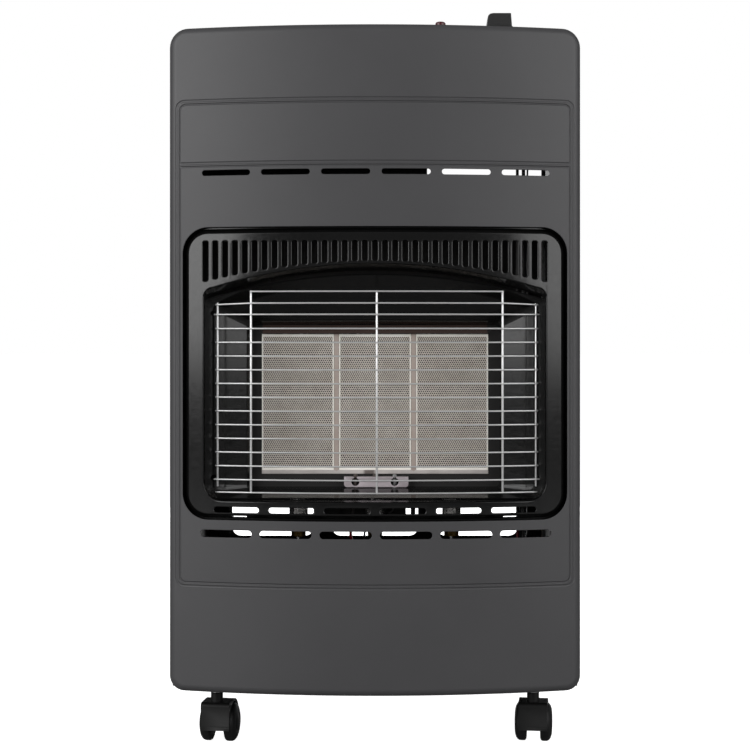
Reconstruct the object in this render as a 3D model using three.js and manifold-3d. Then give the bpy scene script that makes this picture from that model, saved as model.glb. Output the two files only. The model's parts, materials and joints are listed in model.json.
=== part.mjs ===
// Gas convector heater: a cabinet on four twin-wheel casters, with three ceramic plaque burners
// behind a wire guard, and room for a gas bottle behind them.
// Millimetres, +Z up, the front faces -Y, the origin is on the floor under the middle of the cabinet.
import * as THREE from "three";
import { mergeVertices } from "three/addons/utils/BufferGeometryUtils.js";
import Module from "manifold-3d";

const wasm = await Module();
wasm.setup();

// Cabinet
const cabinetWidth = 420;
const cabinetDepth = 400;
const cabinetTop = 738.5;
const cabinetBottom = 63;
const bowRise = 27;
const sheet = 1.2;
const fit = 0.3;
const overrun = 6;
const weld = 0.0001;

// Front panel
const panelTopRadius = 19;
const panelBottomRadius = 15;
const panelEdgeRadius = 5;
const panelFlange = 18;
const fieldMargin = 8;
const fieldBottom = 171.3;
const fieldTop = 663.5;
const fieldRadius = 8;
const bandHeight = 598;
const grooveWidth = 2.6;
const grooveDepth = 0.5;
const ventCount = 6;
const ventInset = 20.2;
const ventShift = 0.9;
const upperVentHeight = 590;
const upperVentBridge = 11.3;
const upperVentOpening = 5.6;
const lowerVentHeight = 225;
const lowerVentBridge = 8;
const lowerVentOpening = 7.5;

// Burner surround, the black pressing in the panel's window
const surroundMargin = 7.8;
const surroundBottom = 240.1;
const surroundTop = 533.7;
const surroundRadius = 25;
const surroundEdgeRadius = 4.5;
const surroundSheet = 1;
const surroundGap = 1.3;
const surroundLip = 9;
const surroundSkirtDepth = 8;
const mouthMargin = 21.2;
const mouthBottom = 258.5;
const mouthShoulder = 471;
const mouthCrown = 495;
const mouthBottomRadius = 18;
const mouthTopRadius = 9;
const mouthBackSetback = 1;
const louvreCount = 35;
const louvreInset = 1.3;
const louvreBridge = 4.9;
const louvreTop = 521;
const louvreShortest = 20.6;
const louvreLongest = 40.8;
const lipVentInset = 5;
const lipVentBridge = 10.2;
const lipVentOpening = 5.6;
const lipVentHeight = 249.4;
const clipSlotInset = 57.2;
const clipSlotLength = 15;
const clipSlotOpening = 1.3;
const clipSlotRise = 2.3;

// Reflector, the sloping walls between the mouth and the burner
const reflectorSheet = 1;
const reflectorFlange = 9;
const reflectorStep = 7;
const reflectorLowRadius = 14;
const reflectorHighRadius = 6;
const reflectorTaper = 41;
const reflectorBackBottom = 266;
const reflectorBackTop = 438;
const reflectorBackRadius = 6;
const reflectorKneeDepthShare = 0.55;
const reflectorKneeInsetShare = 0.16;
const burnerSetback = 50;
const hookHoleRadius = 1.5;
const hookHoleRise = 3;

// Wire guard
const guardShift = 1.8;
const guardWire = 2;
const guardPost = 2.5;
const guardSink = 0.5;
const guardSideGap = 7.8;
const guardOuterPostInset = 2.3;
const guardOuterPostDrop = 7.5;
const guardInnerPostInset = 37;
const guardFrontSetback = -10;
const guardKneeSetback = -0.5;
const guardEndSetback = 7;
const guardPitch = 14;
const guardFirstHeight = 278.5;
const guardPitchCount = 12;
const guardBottomHeight = 265.5;
const guardUpperHeight = 446.9;
const guardShoulderHeight = 458.4;
const guardTopHeight = 470.3;
const guardHookReach = 4;

// Burners
const burnerSideGap = 13.3;
const burnerBridge = 5.3;
const plaqueHeight = 146.3;
const plaqueThickness = 13;
const plaqueBottom = 280.7;
const plaqueProud = 0.7;
const plaqueMargin = 1.5;
const plaqueTopMargin = 3;
const plaqueBottomMargin = 4.4;
const plaqueFieldDepth = 0.6;
const burnerSheet = 0.9;
const burnerDepth = 28;
const burnerFrameSheet = 1;
const burnerFrameBorder = 16;
const burnerFrameBottom = 262;
const burnerFrameLip = 6;
const venturiRadius = 10;
const venturiWall = 1;
const venturiEnd = 224;
const venturiFlare = 3;
const venturiFlareHeight = 7;

// Injectors and gas lines
const injectorHexWidth = 13.3;
const injectorHexBottom = 213.5;
const injectorHexHeight = 5.5;
const injectorTipRadius = 3;
const injectorTipHeight = 9;
const injectorTipTaper = 1;
const railSheet = 1.5;
const railEnd = 11.1;
const railDepth = 18;
const railUpstandDepth = 15.5;
const railUpstandHeight = 29;
const railUpstandLeft = 57;
const railUpstandRight = 33;
const railLegWidth = 5;
const gasPipeRadius = 2.4;
const gasPipeBend = 11;
const gasRunHeights = [172, 181, 190];
const gasRiserInsets = [14, 23, 32];
const gasRiserSetback = 60;
const fineTubeBend = 9;
const pilotPipeRadius = 2;
const thermocoupleRadius = 1.1;
const leadRadius = 1.7;

// Fine lines: turns under the burner as across, behind the mixing tubes and above the injectors,
// climbs as in from the side and behind the risers, and levels below the tap's top
const pilotPipeTurns = [
  [3, -17.5, -7.5],
  [9, -10, -16.5],
  [9, 11, -18.5],
];
const pilotPipeDrop = 11.2;
const pilotPipeClimb = { inset: 52, behind: 12 };
const pilotPipeLevels = { bend: 72, turn: 32, end: 26, behind: 9 };
const thermocoupleTurns = [
  [20.5, -15.5, 26.5],
  [-11, -15, 13.5],
  [-11, -13.5, -7.5],
  [-9, 17, -8.5],
];
const thermocoupleClimb = { inset: 47, behind: 23 };
const thermocoupleLevels = { bend: 112, turn: 36, end: 22, behind: -7 };
const leadTurns = [
  [-25, -15, 12.5],
  [-26, -6, -5.5],
  [-14, 7, -13.5],
];
const leadCorner = { behind: 9, above: -13.5, rise: 26.5 };
const leadClimb = { inset: 58, behind: 19 };
const leadLevels = { bend: 92, cross: 52, turn: 38 };
const leadCrossing = { across: 15.7, behind: 7 };

// Heat shield and burner carrier
const shieldSetback = 88;
const shieldBottom = 245;
const shieldTopGap = 22;
const shieldFlange = 15;
const shieldNotchInset = 154;
const shieldNotchBottom = 560;
const carrierSheet = 1.2;
const carrierBottom = 275;
const carrierTop = 434;

// Pilot group
const pilotBracketWidth = 67;
const pilotBracketShift = 1.3;
const pilotBracketHeight = 12.7;
const pilotBracketTop = 279.2;
const pilotBracketSheet = 1;
const pilotBracketSetback = 39;
const pilotHoleRadius = 3.9;
const pilotHoleSpacing = 41;
const pilotStandoff = 5;
const pilotBurnerRadius = 2.6;
const electrodeRadius = 2.2;
const probeLength = 23;
const probeRise = 1;

// Controls
const controlSetback = 40;
const knobInset = 80.7;
const knobProud = 22.4;
const knobGripWidth = 26.7;
const knobGripTopWidth = 24.4;
const knobGripThickness = 12;
const knobSkirtRadius = 18;
const knobSkirtHeight = 5;
const knobTravel = 3;
const knobGripRadius = 6;
const knobWall = 7;
const spindleRadius = 3;
const spindleCollarRadius = 6.5;
const spindleCollarHeight = 1.8;
const spindleHole = 5;
const springWire = 0.5;
const springTurns = 4;
const springSides = 5;
const springStepsPerTurn = 10;
const springLength = 12;
const buttonSpacing = 61;
const buttonRadius = 5.5;
const buttonProud = 14.1;
const buttonTravel = 5;
const buttonLength = 23;
const buttonDome = 2;
const igniterRadius = 8.5;
const igniterLength = 42;
const igniterFlangeRadius = 11;
const igniterFlangeHeight = 2.4;
const tapWidth = 44;
const tapHeight = 32;
const tapDepth = 26;
const tapDrop = 26.5;
const tapBossRadius = 8;
const tapBossHeight = 6;
const tapCorner = 4;
const tapOutletDrop = 6;
const tapOutletPitch = 10;
const bracketSheet = 1.5;
const bracketWidth = 60;
const bracketDepth = 15;
const inletHexWidth = 19;
const inletHexLength = 10;
const inletLength = 46;
const inletRadius = 4;
const inletBore = 2.2;
const inletBarb = 1;
const inletBarbCount = 4;
const inletDrop = 20;
const inletCollarRadius = 7;
const inletCollarLength = 14;

// Cabinet shell
const sideClearance = 6;
const sideFlange = 28;
const sideFlangeTop = 600;
const sideFrontRise = 16;
const sideFlangeBottom = 80;
const topSkirt = 24;
const topRearFlange = 50;
const baseTongueSetback = 8;
const baseTongueInset = 24;
const traySideInset = 75;
const trayFrontInset = 25;
const trayRearInset = 13;
const trayRise = 3;

// Rear cover
const coverBulge = 15;
const coverSheet = 1;
const coverOverlap = 3.5;
const coverTop = 598;
const coverBottom = 84;
const coverRadius = 12;
const coverBulgeInset = 14;
const coverBulgeEdge = 6;
const coverBulgeBottom = 104;
const coverWindowBottom = 174;
const coverWindowTop = 225;
const coverWindowRadius = 11;
const coverWindowInset = 31;
const coverWindowWidth = 102;
const coverWindowBridge = 23;
const coverLift = 10;
const tabWidth = 30;
const tabInset = 75;
const tabReach = 12;
const hookWidth = 6;
const hookThickness = 1.2;
const hookHeight = 16;
const hookNeck = 6;
const hookLevels = [150, 545];
const gripWidth = 110;
const gripHeight = 34;
const gripLevel = 540;

// Casters
const casterInset = 45.2;
const frontStemSetback = 39;
const rearStemInset = 45;
const casterTrail = 14;
const casterTurns = [-8, -8, 14, -11];
const wheelRadius = 20;
const wheelInner = 5.9;
const wheelOuter = 19.8;
const wheelBore = 2.8;
const axleRadius = 2.5;
const axleHalfLength = 14.5;
const hoodRadius = 24;
const hoodWall = 2.6;
const hoodHalfWidth = 15;
const hoodFrontAngle = 191;
const hoodRearAngle = 25;
const hoodWebSetback = 3;
const hoodBossRadius = 6.7;
const webInset = 0.2;
const neckRadius = 6.3;
const neckTop = 54;
const stemPinRadius = 3.7;
const stemPinBore = 4;
const stemPinBottom = 34;
const stemFlangeRadius = 13;
const stemFlangeHeight = 2.5;
const spigotRadius = 4.7;
const spigotHole = 5;
const stemNutRadius = 8;
const stemNutHeight = 5;

// Facet counts
const bowColumns = 12;
const edgeSteps = 2;
const cornerSteps = 3;
const archSteps = 12;
const slotSteps = 3;
const wireSides = 5;
const roundSides = 14;
const wheelSides = 16;
const hoodSteps = 12;

// Places worked out from the driving dimensions
const halfWidth = cabinetWidth / 2;
const bowHalfWidth = halfWidth - panelEdgeRadius;
const fieldHalfWidth = halfWidth - fieldMargin;
const ventPitch = (2 * (fieldHalfWidth - ventInset)) / ventCount;
const surroundHalfWidth = fieldHalfWidth - surroundMargin;
const mouthHalfWidth = surroundHalfWidth - mouthMargin;
const louvrePitch = (2 * (mouthHalfWidth - louvreInset)) / (louvreCount - 1);
const louvreWidth = louvrePitch - louvreBridge;
const lipVentPitch = (2 * (mouthHalfWidth - lipVentInset)) / ventCount;
const clipSlotAcross = surroundHalfWidth - clipSlotInset;
const reflectorBackHalfWidth = mouthHalfWidth - reflectorTaper;
const guardHalfWidth = mouthHalfWidth - guardSideGap;
const guardOuterPost = guardHalfWidth - guardOuterPostInset;
const guardInnerPost = guardHalfWidth - guardInnerPostInset;
const plaqueWidth = (2 * (reflectorBackHalfWidth - burnerSideGap - burnerBridge)) / 3;
const burnerPitch = plaqueWidth + burnerBridge;
const railHalfWidth = burnerPitch + railEnd;
const knobAcross = halfWidth - knobInset;
const buttonAcross = knobAcross - buttonSpacing;
const casterAcross = halfWidth - casterInset;
const apexY = -cabinetDepth / 2;
const edgeY = apexY + bowRise;
const flangeY = edgeY + panelFlange;
const rearY = cabinetDepth / 2 - coverBulge;
const rearStemBehind = rearY - rearStemInset;
const mouthBackY = edgeY + mouthBackSetback;
const burnerY = edgeY + burnerSetback;
const boxBackY = burnerY + fit + burnerDepth;
const shieldY = edgeY + shieldSetback;
const venturiY = burnerY + fit + burnerDepth / 2;
const controlY = edgeY + controlSetback;
const gasRiserY = edgeY + gasRiserSetback;
const sideOuter = halfWidth - sheet - fit;
const sideInner = sideOuter - sheet;
const baseZ = cabinetBottom + sheet + fit;
const ceilingZ = cabinetTop - sheet;
const knobTop = cabinetTop + knobProud;
const buttonTop = cabinetTop + buttonProud;
const tapTop = cabinetTop - tapDrop;
const hubHalfWidth = wheelInner - fit;
const webHalfWidth = hubHalfWidth - webInset;
const plaqueTop = plaqueBottom + plaqueHeight;
const boxHalfWidth = plaqueWidth / 2 + fit + burnerSheet;
const boxBottom = plaqueBottom - fit - burnerSheet;
const boxTop = plaqueTop + fit + burnerSheet;
const railZ = injectorHexBottom + injectorHexHeight + fit;
const windowHalfWidth = surroundHalfWidth + surroundGap;

// Finishes
const finish = {
  cabinetPaint: paint(0x4b4c4f, 0.55, 0.3),
  blackEnamel: paint(0x0c0c0d, 0.18, 0.2),
  galvanised: paint(0x8d9093, 0.45, 0.8),
  darkSteel: paint(0x2b2a2a, 0.55, 0.6),
  burnerSteel: paint(0xa2948b, 0.5, 0.7),
  brightWire: paint(0xd4d4d2, 0.25, 0.9),
  ceramic: paint(0xd9cfc2, 0.95, 0),
  brass: paint(0xb08d4a, 0.35, 0.9),
  pipeMetal: paint(0x9c9ea0, 0.35, 0.85),
  blackPlastic: paint(0x232325, 0.5, 0),
  casterPlastic: paint(0x151516, 0.45, 0),
  redPlastic: paint(0x7c1220, 0.35, 0),
  redLead: paint(0xa40f1d, 0.4, 0),
};

function paint(color, roughness, metalness) {
  return new THREE.MeshStandardMaterial({ color, roughness, metalness });
}

// Closed solids, and their joins and cuts
function solid(geometry) {
  const bare = geometry.clone();
  bare.deleteAttribute("normal");
  bare.deleteAttribute("uv");
  const merged = mergeVertices(bare, weld);
  return new wasm.Manifold(
    new wasm.Mesh({
      numProp: 3,
      vertProperties: new Float32Array(merged.getAttribute("position").array),
      triVerts: new Uint32Array(merged.index.array),
    }),
  );
}

const join = (...parts) => parts.reduce((whole, part) => whole.add(part));
const cut = (whole, ...tools) => tools.reduce((rest, tool) => rest.subtract(tool), whole);
const common = (a, b) => a.intersect(b);

function node(name, shape, material) {
  const data = shape.getMesh();
  const stride = data.numProp;
  const places = new Float32Array(data.numVert * 3);
  for (let i = 0; i < data.numVert; i++) {
    places.set(data.vertProperties.subarray(i * stride, i * stride + 3), i * 3);
  }
  const geometry = new THREE.BufferGeometry();
  geometry.setAttribute("position", new THREE.BufferAttribute(places, 3));
  geometry.setIndex(new THREE.BufferAttribute(new Uint32Array(data.triVerts), 1));
  geometry.computeVertexNormals();
  const mesh = new THREE.Mesh(geometry, material);
  mesh.name = name;
  return mesh;
}

// Prisms: a shape drawn in two axes and run along the third, from one place to another
const alongX = new THREE.Matrix4().makeBasis(
  new THREE.Vector3(0, 1, 0),
  new THREE.Vector3(0, 0, 1),
  new THREE.Vector3(1, 0, 0),
);
const alongY = new THREE.Matrix4().makeBasis(
  new THREE.Vector3(1, 0, 0),
  new THREE.Vector3(0, 0, 1),
  new THREE.Vector3(0, -1, 0),
);
const alongZ = new THREE.Matrix4();

function prism(shape, direction, from, to, curveSegments) {
  const geometry = new THREE.ExtrudeGeometry(shape, { depth: 1, bevelEnabled: false, curveSegments });
  const run = new THREE.Matrix4().makeScale(1, 1, to - from).setPosition(0, 0, from);
  return solid(geometry.applyMatrix4(run.premultiply(direction)));
}

const prismX = (shape, from, to, steps = cornerSteps) => prism(shape, alongX, from, to, steps);
const prismY = (shape, from, to, steps = cornerSteps) => prism(shape, alongY, -to, -from, steps);
const prismZ = (shape, from, to, steps = cornerSteps) => prism(shape, alongZ, from, to, steps);

function block([x0, x1], [y0, y1], [z0, z1]) {
  const geometry = new THREE.BoxGeometry(1, 1, 1);
  const size = new THREE.Matrix4().makeScale(x1 - x0, y1 - y0, z1 - z0);
  return solid(geometry.applyMatrix4(size.setPosition((x0 + x1) / 2, (y0 + y1) / 2, (z0 + z1) / 2)));
}

// A rod from one point to another
function rod(radius, from, to, sides = roundSides, endRadius = radius) {
  const start = new THREE.Vector3(...from);
  const run = new THREE.Vector3(...to).sub(start);
  const geometry = new THREE.CylinderGeometry(endRadius, radius, run.length(), sides);
  const turn = new THREE.Quaternion().setFromUnitVectors(
    new THREE.Vector3(0, 1, 0),
    run.clone().normalize(),
  );
  geometry.applyQuaternion(turn);
  return solid(geometry.translate(...start.addScaledVector(run, 0.5).toArray()));
}

// A round body about the Z axis, from a closed profile of [radius, height] points
function turned(profile, sides = roundSides) {
  const points = profile.map(([radius, height]) => new THREE.Vector2(radius, height));
  const geometry = new THREE.LatheGeometry(points, sides);
  return solid(geometry.rotateX(Math.PI / 2));
}

// A curve whose steps fall on its own points, so that a bend is fine and a straight is one step
class BentLine extends THREE.Curve {
  constructor(points) {
    super();
    this.points = points;
  }
  getPointAt(share) {
    const place = share * (this.points.length - 1);
    const first = Math.min(Math.floor(place + weld), this.points.length - 2);
    return this.points[first].clone().lerp(this.points[first + 1], place - first);
  }
  getTangentAt(share) {
    const last = this.points.length - 1;
    const here = Math.round(share * last);
    const before = this.points[Math.max(here - 1, 0)];
    const after = this.points[Math.min(here + 1, last)];
    const arriving = this.points[here].clone().sub(before).normalize();
    const leaving = after.clone().sub(this.points[here]).normalize();
    return arriving.add(leaving).normalize();
  }
}

function sweep(points, radius, sides) {
  const section = new THREE.Shape();
  for (let i = 0; i < sides; i++) {
    const angle = (i / sides) * 2 * Math.PI;
    const place = [radius * Math.cos(angle), radius * Math.sin(angle)];
    if (i === 0) section.moveTo(...place);
    else section.lineTo(...place);
  }
  section.closePath();
  const geometry = new THREE.ExtrudeGeometry(section, {
    steps: points.length - 1,
    extrudePath: new BentLine(points),
  });
  const body = solid(geometry);
  return body.volume() > 0 ? body : solid(flipped(geometry));
}

function flipped(geometry) {
  const turnedRound = geometry.index ? geometry.toNonIndexed() : geometry.clone();
  const places = turnedRound.getAttribute("position");
  for (let i = 0; i < places.count; i += 3) {
    const [x, y, z] = [places.getX(i + 1), places.getY(i + 1), places.getZ(i + 1)];
    places.setXYZ(i + 1, places.getX(i + 2), places.getY(i + 2), places.getZ(i + 2));
    places.setXYZ(i + 2, x, y, z);
  }
  return turnedRound;
}

// The points of a line with round bends at its corners
function bends(corners, radius) {
  const stations = corners.map((corner) => new THREE.Vector3(...corner));
  const points = [stations[0]];
  for (let i = 1; i < stations.length - 1; i++) {
    const here = stations[i];
    const back = stations[i - 1].clone().sub(here);
    const on = stations[i + 1].clone().sub(here);
    const reach = Math.min(radius, back.length() / 2, on.length() / 2);
    const start = here.clone().addScaledVector(back.normalize(), reach);
    const end = here.clone().addScaledVector(on.normalize(), reach);
    const arc = new THREE.QuadraticBezierCurve3(start, here, end);
    points.push(...arc.getPoints(edgeSteps));
  }
  points.push(stations[stations.length - 1]);
  return points;
}

const tube = (corners, radius, bend, sides = wireSides) => sweep(bends(corners, bend), radius, sides);

// Flat outlines
function polygon(points) {
  return new THREE.Shape(points.map(([a, b]) => new THREE.Vector2(a, b)));
}

function roundedBox(left, right, bottom, top, radius) {
  const shape = new THREE.Shape();
  shape.moveTo(left + radius, bottom);
  shape.lineTo(right - radius, bottom);
  shape.absarc(right - radius, bottom + radius, radius, -Math.PI / 2, 0, false);
  shape.lineTo(right, top - radius);
  shape.absarc(right - radius, top - radius, radius, 0, Math.PI / 2, false);
  shape.lineTo(left + radius, top);
  shape.absarc(left + radius, top - radius, radius, Math.PI / 2, Math.PI, false);
  shape.lineTo(left, bottom + radius);
  shape.absarc(left + radius, bottom + radius, radius, Math.PI, 1.5 * Math.PI, false);
  return shape;
}

const slot = (across, height, length, opening) =>
  roundedBox(
    across - length / 2,
    across + length / 2,
    height - opening / 2,
    height + opening / 2,
    opening / 2,
  );

const disc = (across, height, radius) => {
  const shape = new THREE.Shape();
  shape.absarc(across, height, radius, 0, 2 * Math.PI, false);
  return shape;
};

function hexagon(across, height, width) {
  const corner = width / Math.sqrt(3);
  const points = [0, 1, 2, 3, 4, 5].map((i) => {
    const angle = (i * Math.PI) / 3;
    return [across + corner * Math.cos(angle), height + corner * Math.sin(angle)];
  });
  return polygon(points);
}

function cornerArc(across, height, radius, from, to, steps) {
  return Array.from({ length: steps + 1 }, (_, i) => {
    const angle = from + ((to - from) * i) / steps;
    return [across + radius * Math.cos(angle), height + radius * Math.sin(angle)];
  });
}

// Pressings: a face that follows a curve in plan, with a rounded edge and a wall that runs back
function bow(x) {
  const radius = (bowHalfWidth ** 2 + bowRise ** 2) / (2 * bowRise);
  return apexY + radius - Math.sqrt(radius ** 2 - x ** 2);
}

function chains({ half, bottom, top, topRadius, bottomRadius, inset = 0 }, columns) {
  const out = half - inset;
  const upper = Math.max(topRadius - inset, fit);
  const lower = Math.max(bottomRadius - inset, fit);
  const low = bottom + inset;
  const high = top - inset;
  const inner = Array.from({ length: columns - 1 }, (_, i) => -1 + (2 * (i + 1)) / columns);
  const across = (radius, height) => inner.map((share) => [share * (out - radius), height]);
  const topChain = [
    ...cornerArc(-out + upper, high - upper, upper, Math.PI, Math.PI / 2, cornerSteps),
    ...across(upper, high),
    ...cornerArc(out - upper, high - upper, upper, Math.PI / 2, 0, cornerSteps),
  ];
  const bottomChain = [
    ...cornerArc(-out + lower, low + lower, lower, Math.PI, 1.5 * Math.PI, cornerSteps),
    ...across(lower, low),
    ...cornerArc(out - lower, low + lower, lower, -Math.PI / 2, 0, cornerSteps),
  ];
  return [topChain, bottomChain];
}

function pressing({ face, edgeRadius, back, inset = 0, columns = bowColumns, ...outline }) {
  const edge = Math.max(edgeRadius - inset, fit);
  const rings = [];
  for (let i = 0; i <= edgeSteps; i++) {
    const angle = (i / edgeSteps) * (Math.PI / 2);
    const chain = chains({ ...outline, inset: inset + edge * (1 - Math.sin(angle)) }, columns);
    const depth = inset + edge * (1 - Math.cos(angle));
    rings.push(chain.map((side) => side.map(([x, z]) => [x, face(x) + depth, z])));
  }
  const last = rings[rings.length - 1];
  rings.push(last.map((side) => side.map(([x, , z]) => [x, back, z])));
  const loops = rings.map(([topSide, bottomSide]) => [...topSide, ...bottomSide.toReversed()]);
  const triangles = [];
  const count = loops[0].length;
  for (let ring = 0; ring < loops.length - 1; ring++) {
    const [front, behind] = [loops[ring], loops[ring + 1]];
    for (let i = 0; i < count; i++) {
      const next = (i + 1) % count;
      triangles.push(front[i], front[next], behind[next], front[i], behind[next], behind[i]);
    }
  }
  triangles.push(...strip(rings[0]), ...strip(rings[rings.length - 1], true));
  return fromTriangles(triangles);
}

function strip([topSide, bottomSide], reversed = false) {
  const triangles = [];
  for (let i = 0; i < topSide.length - 1; i++) {
    const [a, b, c, d] = [topSide[i], bottomSide[i], bottomSide[i + 1], topSide[i + 1]];
    if (reversed) triangles.push(a, c, b, a, d, c);
    else triangles.push(a, b, c, a, c, d);
  }
  return triangles;
}

function fromTriangles(corners) {
  const geometry = new THREE.BufferGeometry();
  geometry.setAttribute("position", new THREE.Float32BufferAttribute(corners.flat(), 3));
  return solid(geometry);
}

// A straight-sided body between two outlines of as many points
function loft(front, frontY, behind, behindY) {
  const triangles = [];
  const place = ([x, z], y) => [x, y, z];
  front.forEach((point, i) => {
    const next = (i + 1) % front.length;
    const [a, b] = [place(point, frontY), place(front[next], frontY)];
    const [c, d] = [place(behind[next], behindY), place(behind[i], behindY)];
    triangles.push(a, c, b, a, d, c);
  });
  const flat = front.map(([x, z]) => new THREE.Vector2(x, z));
  for (const [i, j, k] of THREE.ShapeUtils.triangulateShape(flat, [])) {
    triangles.push(place(front[i], frontY), place(front[j], frontY), place(front[k], frontY));
    triangles.push(place(behind[i], behindY), place(behind[k], behindY), place(behind[j], behindY));
  }
  return fromTriangles(triangles);
}

// The mouth's outline: square sides, round lower corners and an arched top
function archedOutline({ half, bottom, shoulder, crown, lowRadius, highRadius, grow = 0 }) {
  const out = half + grow;
  const low = bottom - grow;
  const high = shoulder + grow;
  const lowR = lowRadius + grow;
  const highR = highRadius + grow;
  const rise = crown - shoulder;
  const arch = Array.from({ length: archSteps - 1 }, (_, i) => {
    const share = 1 - (2 * (i + 1)) / archSteps;
    return [share * (out - highR), high + rise * (1 - share ** 2)];
  });
  return [
    ...cornerArc(out - lowR, low + lowR, lowR, -Math.PI / 2, 0, cornerSteps),
    ...cornerArc(out - highR, high - highR, highR, 0, Math.PI / 2, slotSteps),
    ...arch,
    ...cornerArc(-out + highR, high - highR, highR, Math.PI / 2, Math.PI, slotSteps),
    ...cornerArc(-out + lowR, low + lowR, lowR, Math.PI, 1.5 * Math.PI, cornerSteps),
  ];
}

const frontOutline = {
  half: halfWidth,
  bottom: cabinetBottom,
  top: cabinetTop,
  topRadius: panelTopRadius,
  bottomRadius: panelBottomRadius,
  edgeRadius: panelEdgeRadius,
  face: bow,
};
const surroundOutline = {
  half: surroundHalfWidth,
  bottom: surroundBottom,
  top: surroundTop,
  topRadius: surroundRadius,
  bottomRadius: surroundRadius,
  edgeRadius: surroundEdgeRadius,
  face: bow,
};
const mouthOutline = {
  half: mouthHalfWidth,
  bottom: mouthBottom,
  shoulder: mouthShoulder,
  crown: mouthCrown,
  lowRadius: mouthBottomRadius,
  highRadius: mouthTopRadius,
};
const throatOutline = {
  ...mouthOutline,
  shoulder: mouthShoulder - reflectorStep,
  crown: mouthCrown - reflectorStep,
  lowRadius: reflectorLowRadius,
  highRadius: reflectorHighRadius,
};
const reflectorBackOutline = {
  half: reflectorBackHalfWidth,
  bottom: reflectorBackBottom,
  shoulder: reflectorBackTop,
  crown: reflectorBackTop,
  lowRadius: reflectorBackRadius,
  highRadius: reflectorBackRadius,
};

const reflectorKneeOutline = Object.fromEntries(
  Object.entries(throatOutline).map(([key, value]) => [
    key,
    value + (reflectorBackOutline[key] - value) * reflectorKneeInsetShare,
  ]),
);

const rowOf = (count, pitch) =>
  Array.from({ length: count }, (_, i) => (i - (count - 1) / 2) * pitch);

// Front panel: one bowed pressing with a flange all round, a window and two rows of vents
function frontPanel() {
  const through = [apexY - overrun, flangeY + overrun];
  const shell = cut(
    pressing({ ...frontOutline, back: flangeY }),
    pressing({ ...frontOutline, inset: sheet, back: flangeY + overrun }),
  );
  const window = roundedBox(
    -windowHalfWidth,
    windowHalfWidth,
    surroundBottom - surroundGap,
    surroundTop + surroundGap,
    surroundRadius + surroundGap,
  );
  const ventRow = (height, bridge, opening) =>
    rowOf(ventCount, ventPitch).map((x) =>
      prismY(slot(x + ventShift, height, ventPitch - bridge, opening), ...through, slotSteps),
    );
  const upper = ventRow(upperVentHeight, upperVentBridge, upperVentOpening);
  const lower = ventRow(lowerVentHeight, lowerVentBridge, lowerVentOpening);
  const beyond = pressing({ ...frontOutline, inset: grooveDepth, back: flangeY });
  const grooves = cut(fieldLines(through), beyond);
  return cut(shell, grooves, prismY(window, ...through), ...upper, ...lower);
}

function fieldLines(through) {
  const half = grooveWidth / 2;
  const outer = roundedBox(
    -fieldHalfWidth - half,
    fieldHalfWidth + half,
    fieldBottom - half,
    fieldTop + half,
    fieldRadius + half,
  );
  const inner = roundedBox(
    -fieldHalfWidth + half,
    fieldHalfWidth - half,
    fieldBottom + half,
    fieldTop - half,
    fieldRadius - half,
  );
  const line = block([-fieldHalfWidth, fieldHalfWidth], through, [bandHeight - half, bandHeight + half]);
  return join(cut(prismY(outer, ...through), prismY(inner, ...through)), line);
}

// Burner surround: an enamelled pressing with an arched mouth, louvre slots and a lip behind the panel
function burnerSurround() {
  const skirtY = edgeY + surroundSkirtDepth;
  const through = [apexY - overrun, skirtY + overrun];
  const body = pressing({ ...surroundOutline, back: skirtY });
  const mouth = prismY(polygon(archedOutline(mouthOutline)), ...through);
  const mouthWall = prismY(
    polygon(archedOutline({ ...mouthOutline, grow: surroundSheet })),
    apexY - overrun,
    mouthBackY,
  );
  const hollow = pressing({ ...surroundOutline, inset: surroundSheet, back: skirtY + overrun });
  const shell = cut(body, cut(hollow, mouthWall), mouth);
  const clips = [-1, 1].map((side) => {
    const height = surroundBottom + clipSlotRise;
    return prismY(slot(side * clipSlotAcross, height, clipSlotLength, clipSlotOpening), ...through, 1);
  });
  return cut(join(shell, surroundFlange()), ...louvres(through), ...lipVents(through), ...clips);
}

function surroundFlange() {
  const behindPanel = sheet + fit;
  const back = edgeY + surroundSkirtDepth;
  const flange = roundedBox(
    -surroundHalfWidth - surroundLip,
    surroundHalfWidth + surroundLip,
    surroundBottom - surroundLip,
    surroundTop + surroundLip,
    surroundRadius + surroundLip,
  );
  const inside = roundedBox(
    -surroundHalfWidth + surroundSheet,
    surroundHalfWidth - surroundSheet,
    surroundBottom + surroundSheet,
    surroundTop - surroundSheet,
    surroundRadius - surroundSheet,
  );
  const skin = cut(
    pressing({ ...frontOutline, inset: behindPanel, back }),
    pressing({ ...frontOutline, inset: behindPanel + surroundSheet, back: back + overrun }),
  );
  const through = [apexY - overrun, back + overrun];
  return common(skin, cut(prismY(flange, ...through), prismY(inside, ...through)));
}

function louvres(through) {
  const places = rowOf(louvreCount, louvrePitch);
  const furthest = places[places.length - 1];
  return places.map((x) => {
    const length = louvreShortest + (louvreLongest - louvreShortest) * (x / furthest) ** 2;
    const opening = roundedBox(
      x - louvreWidth / 2,
      x + louvreWidth / 2,
      louvreTop - length,
      louvreTop,
      louvreWidth / 2,
    );
    return prismY(opening, ...through, slotSteps - 1);
  });
}

function lipVents(through) {
  return rowOf(ventCount, lipVentPitch).map((x) =>
    prismY(slot(x, lipVentHeight, lipVentPitch - lipVentBridge, lipVentOpening), ...through, slotSteps - 1),
  );
}

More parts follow.
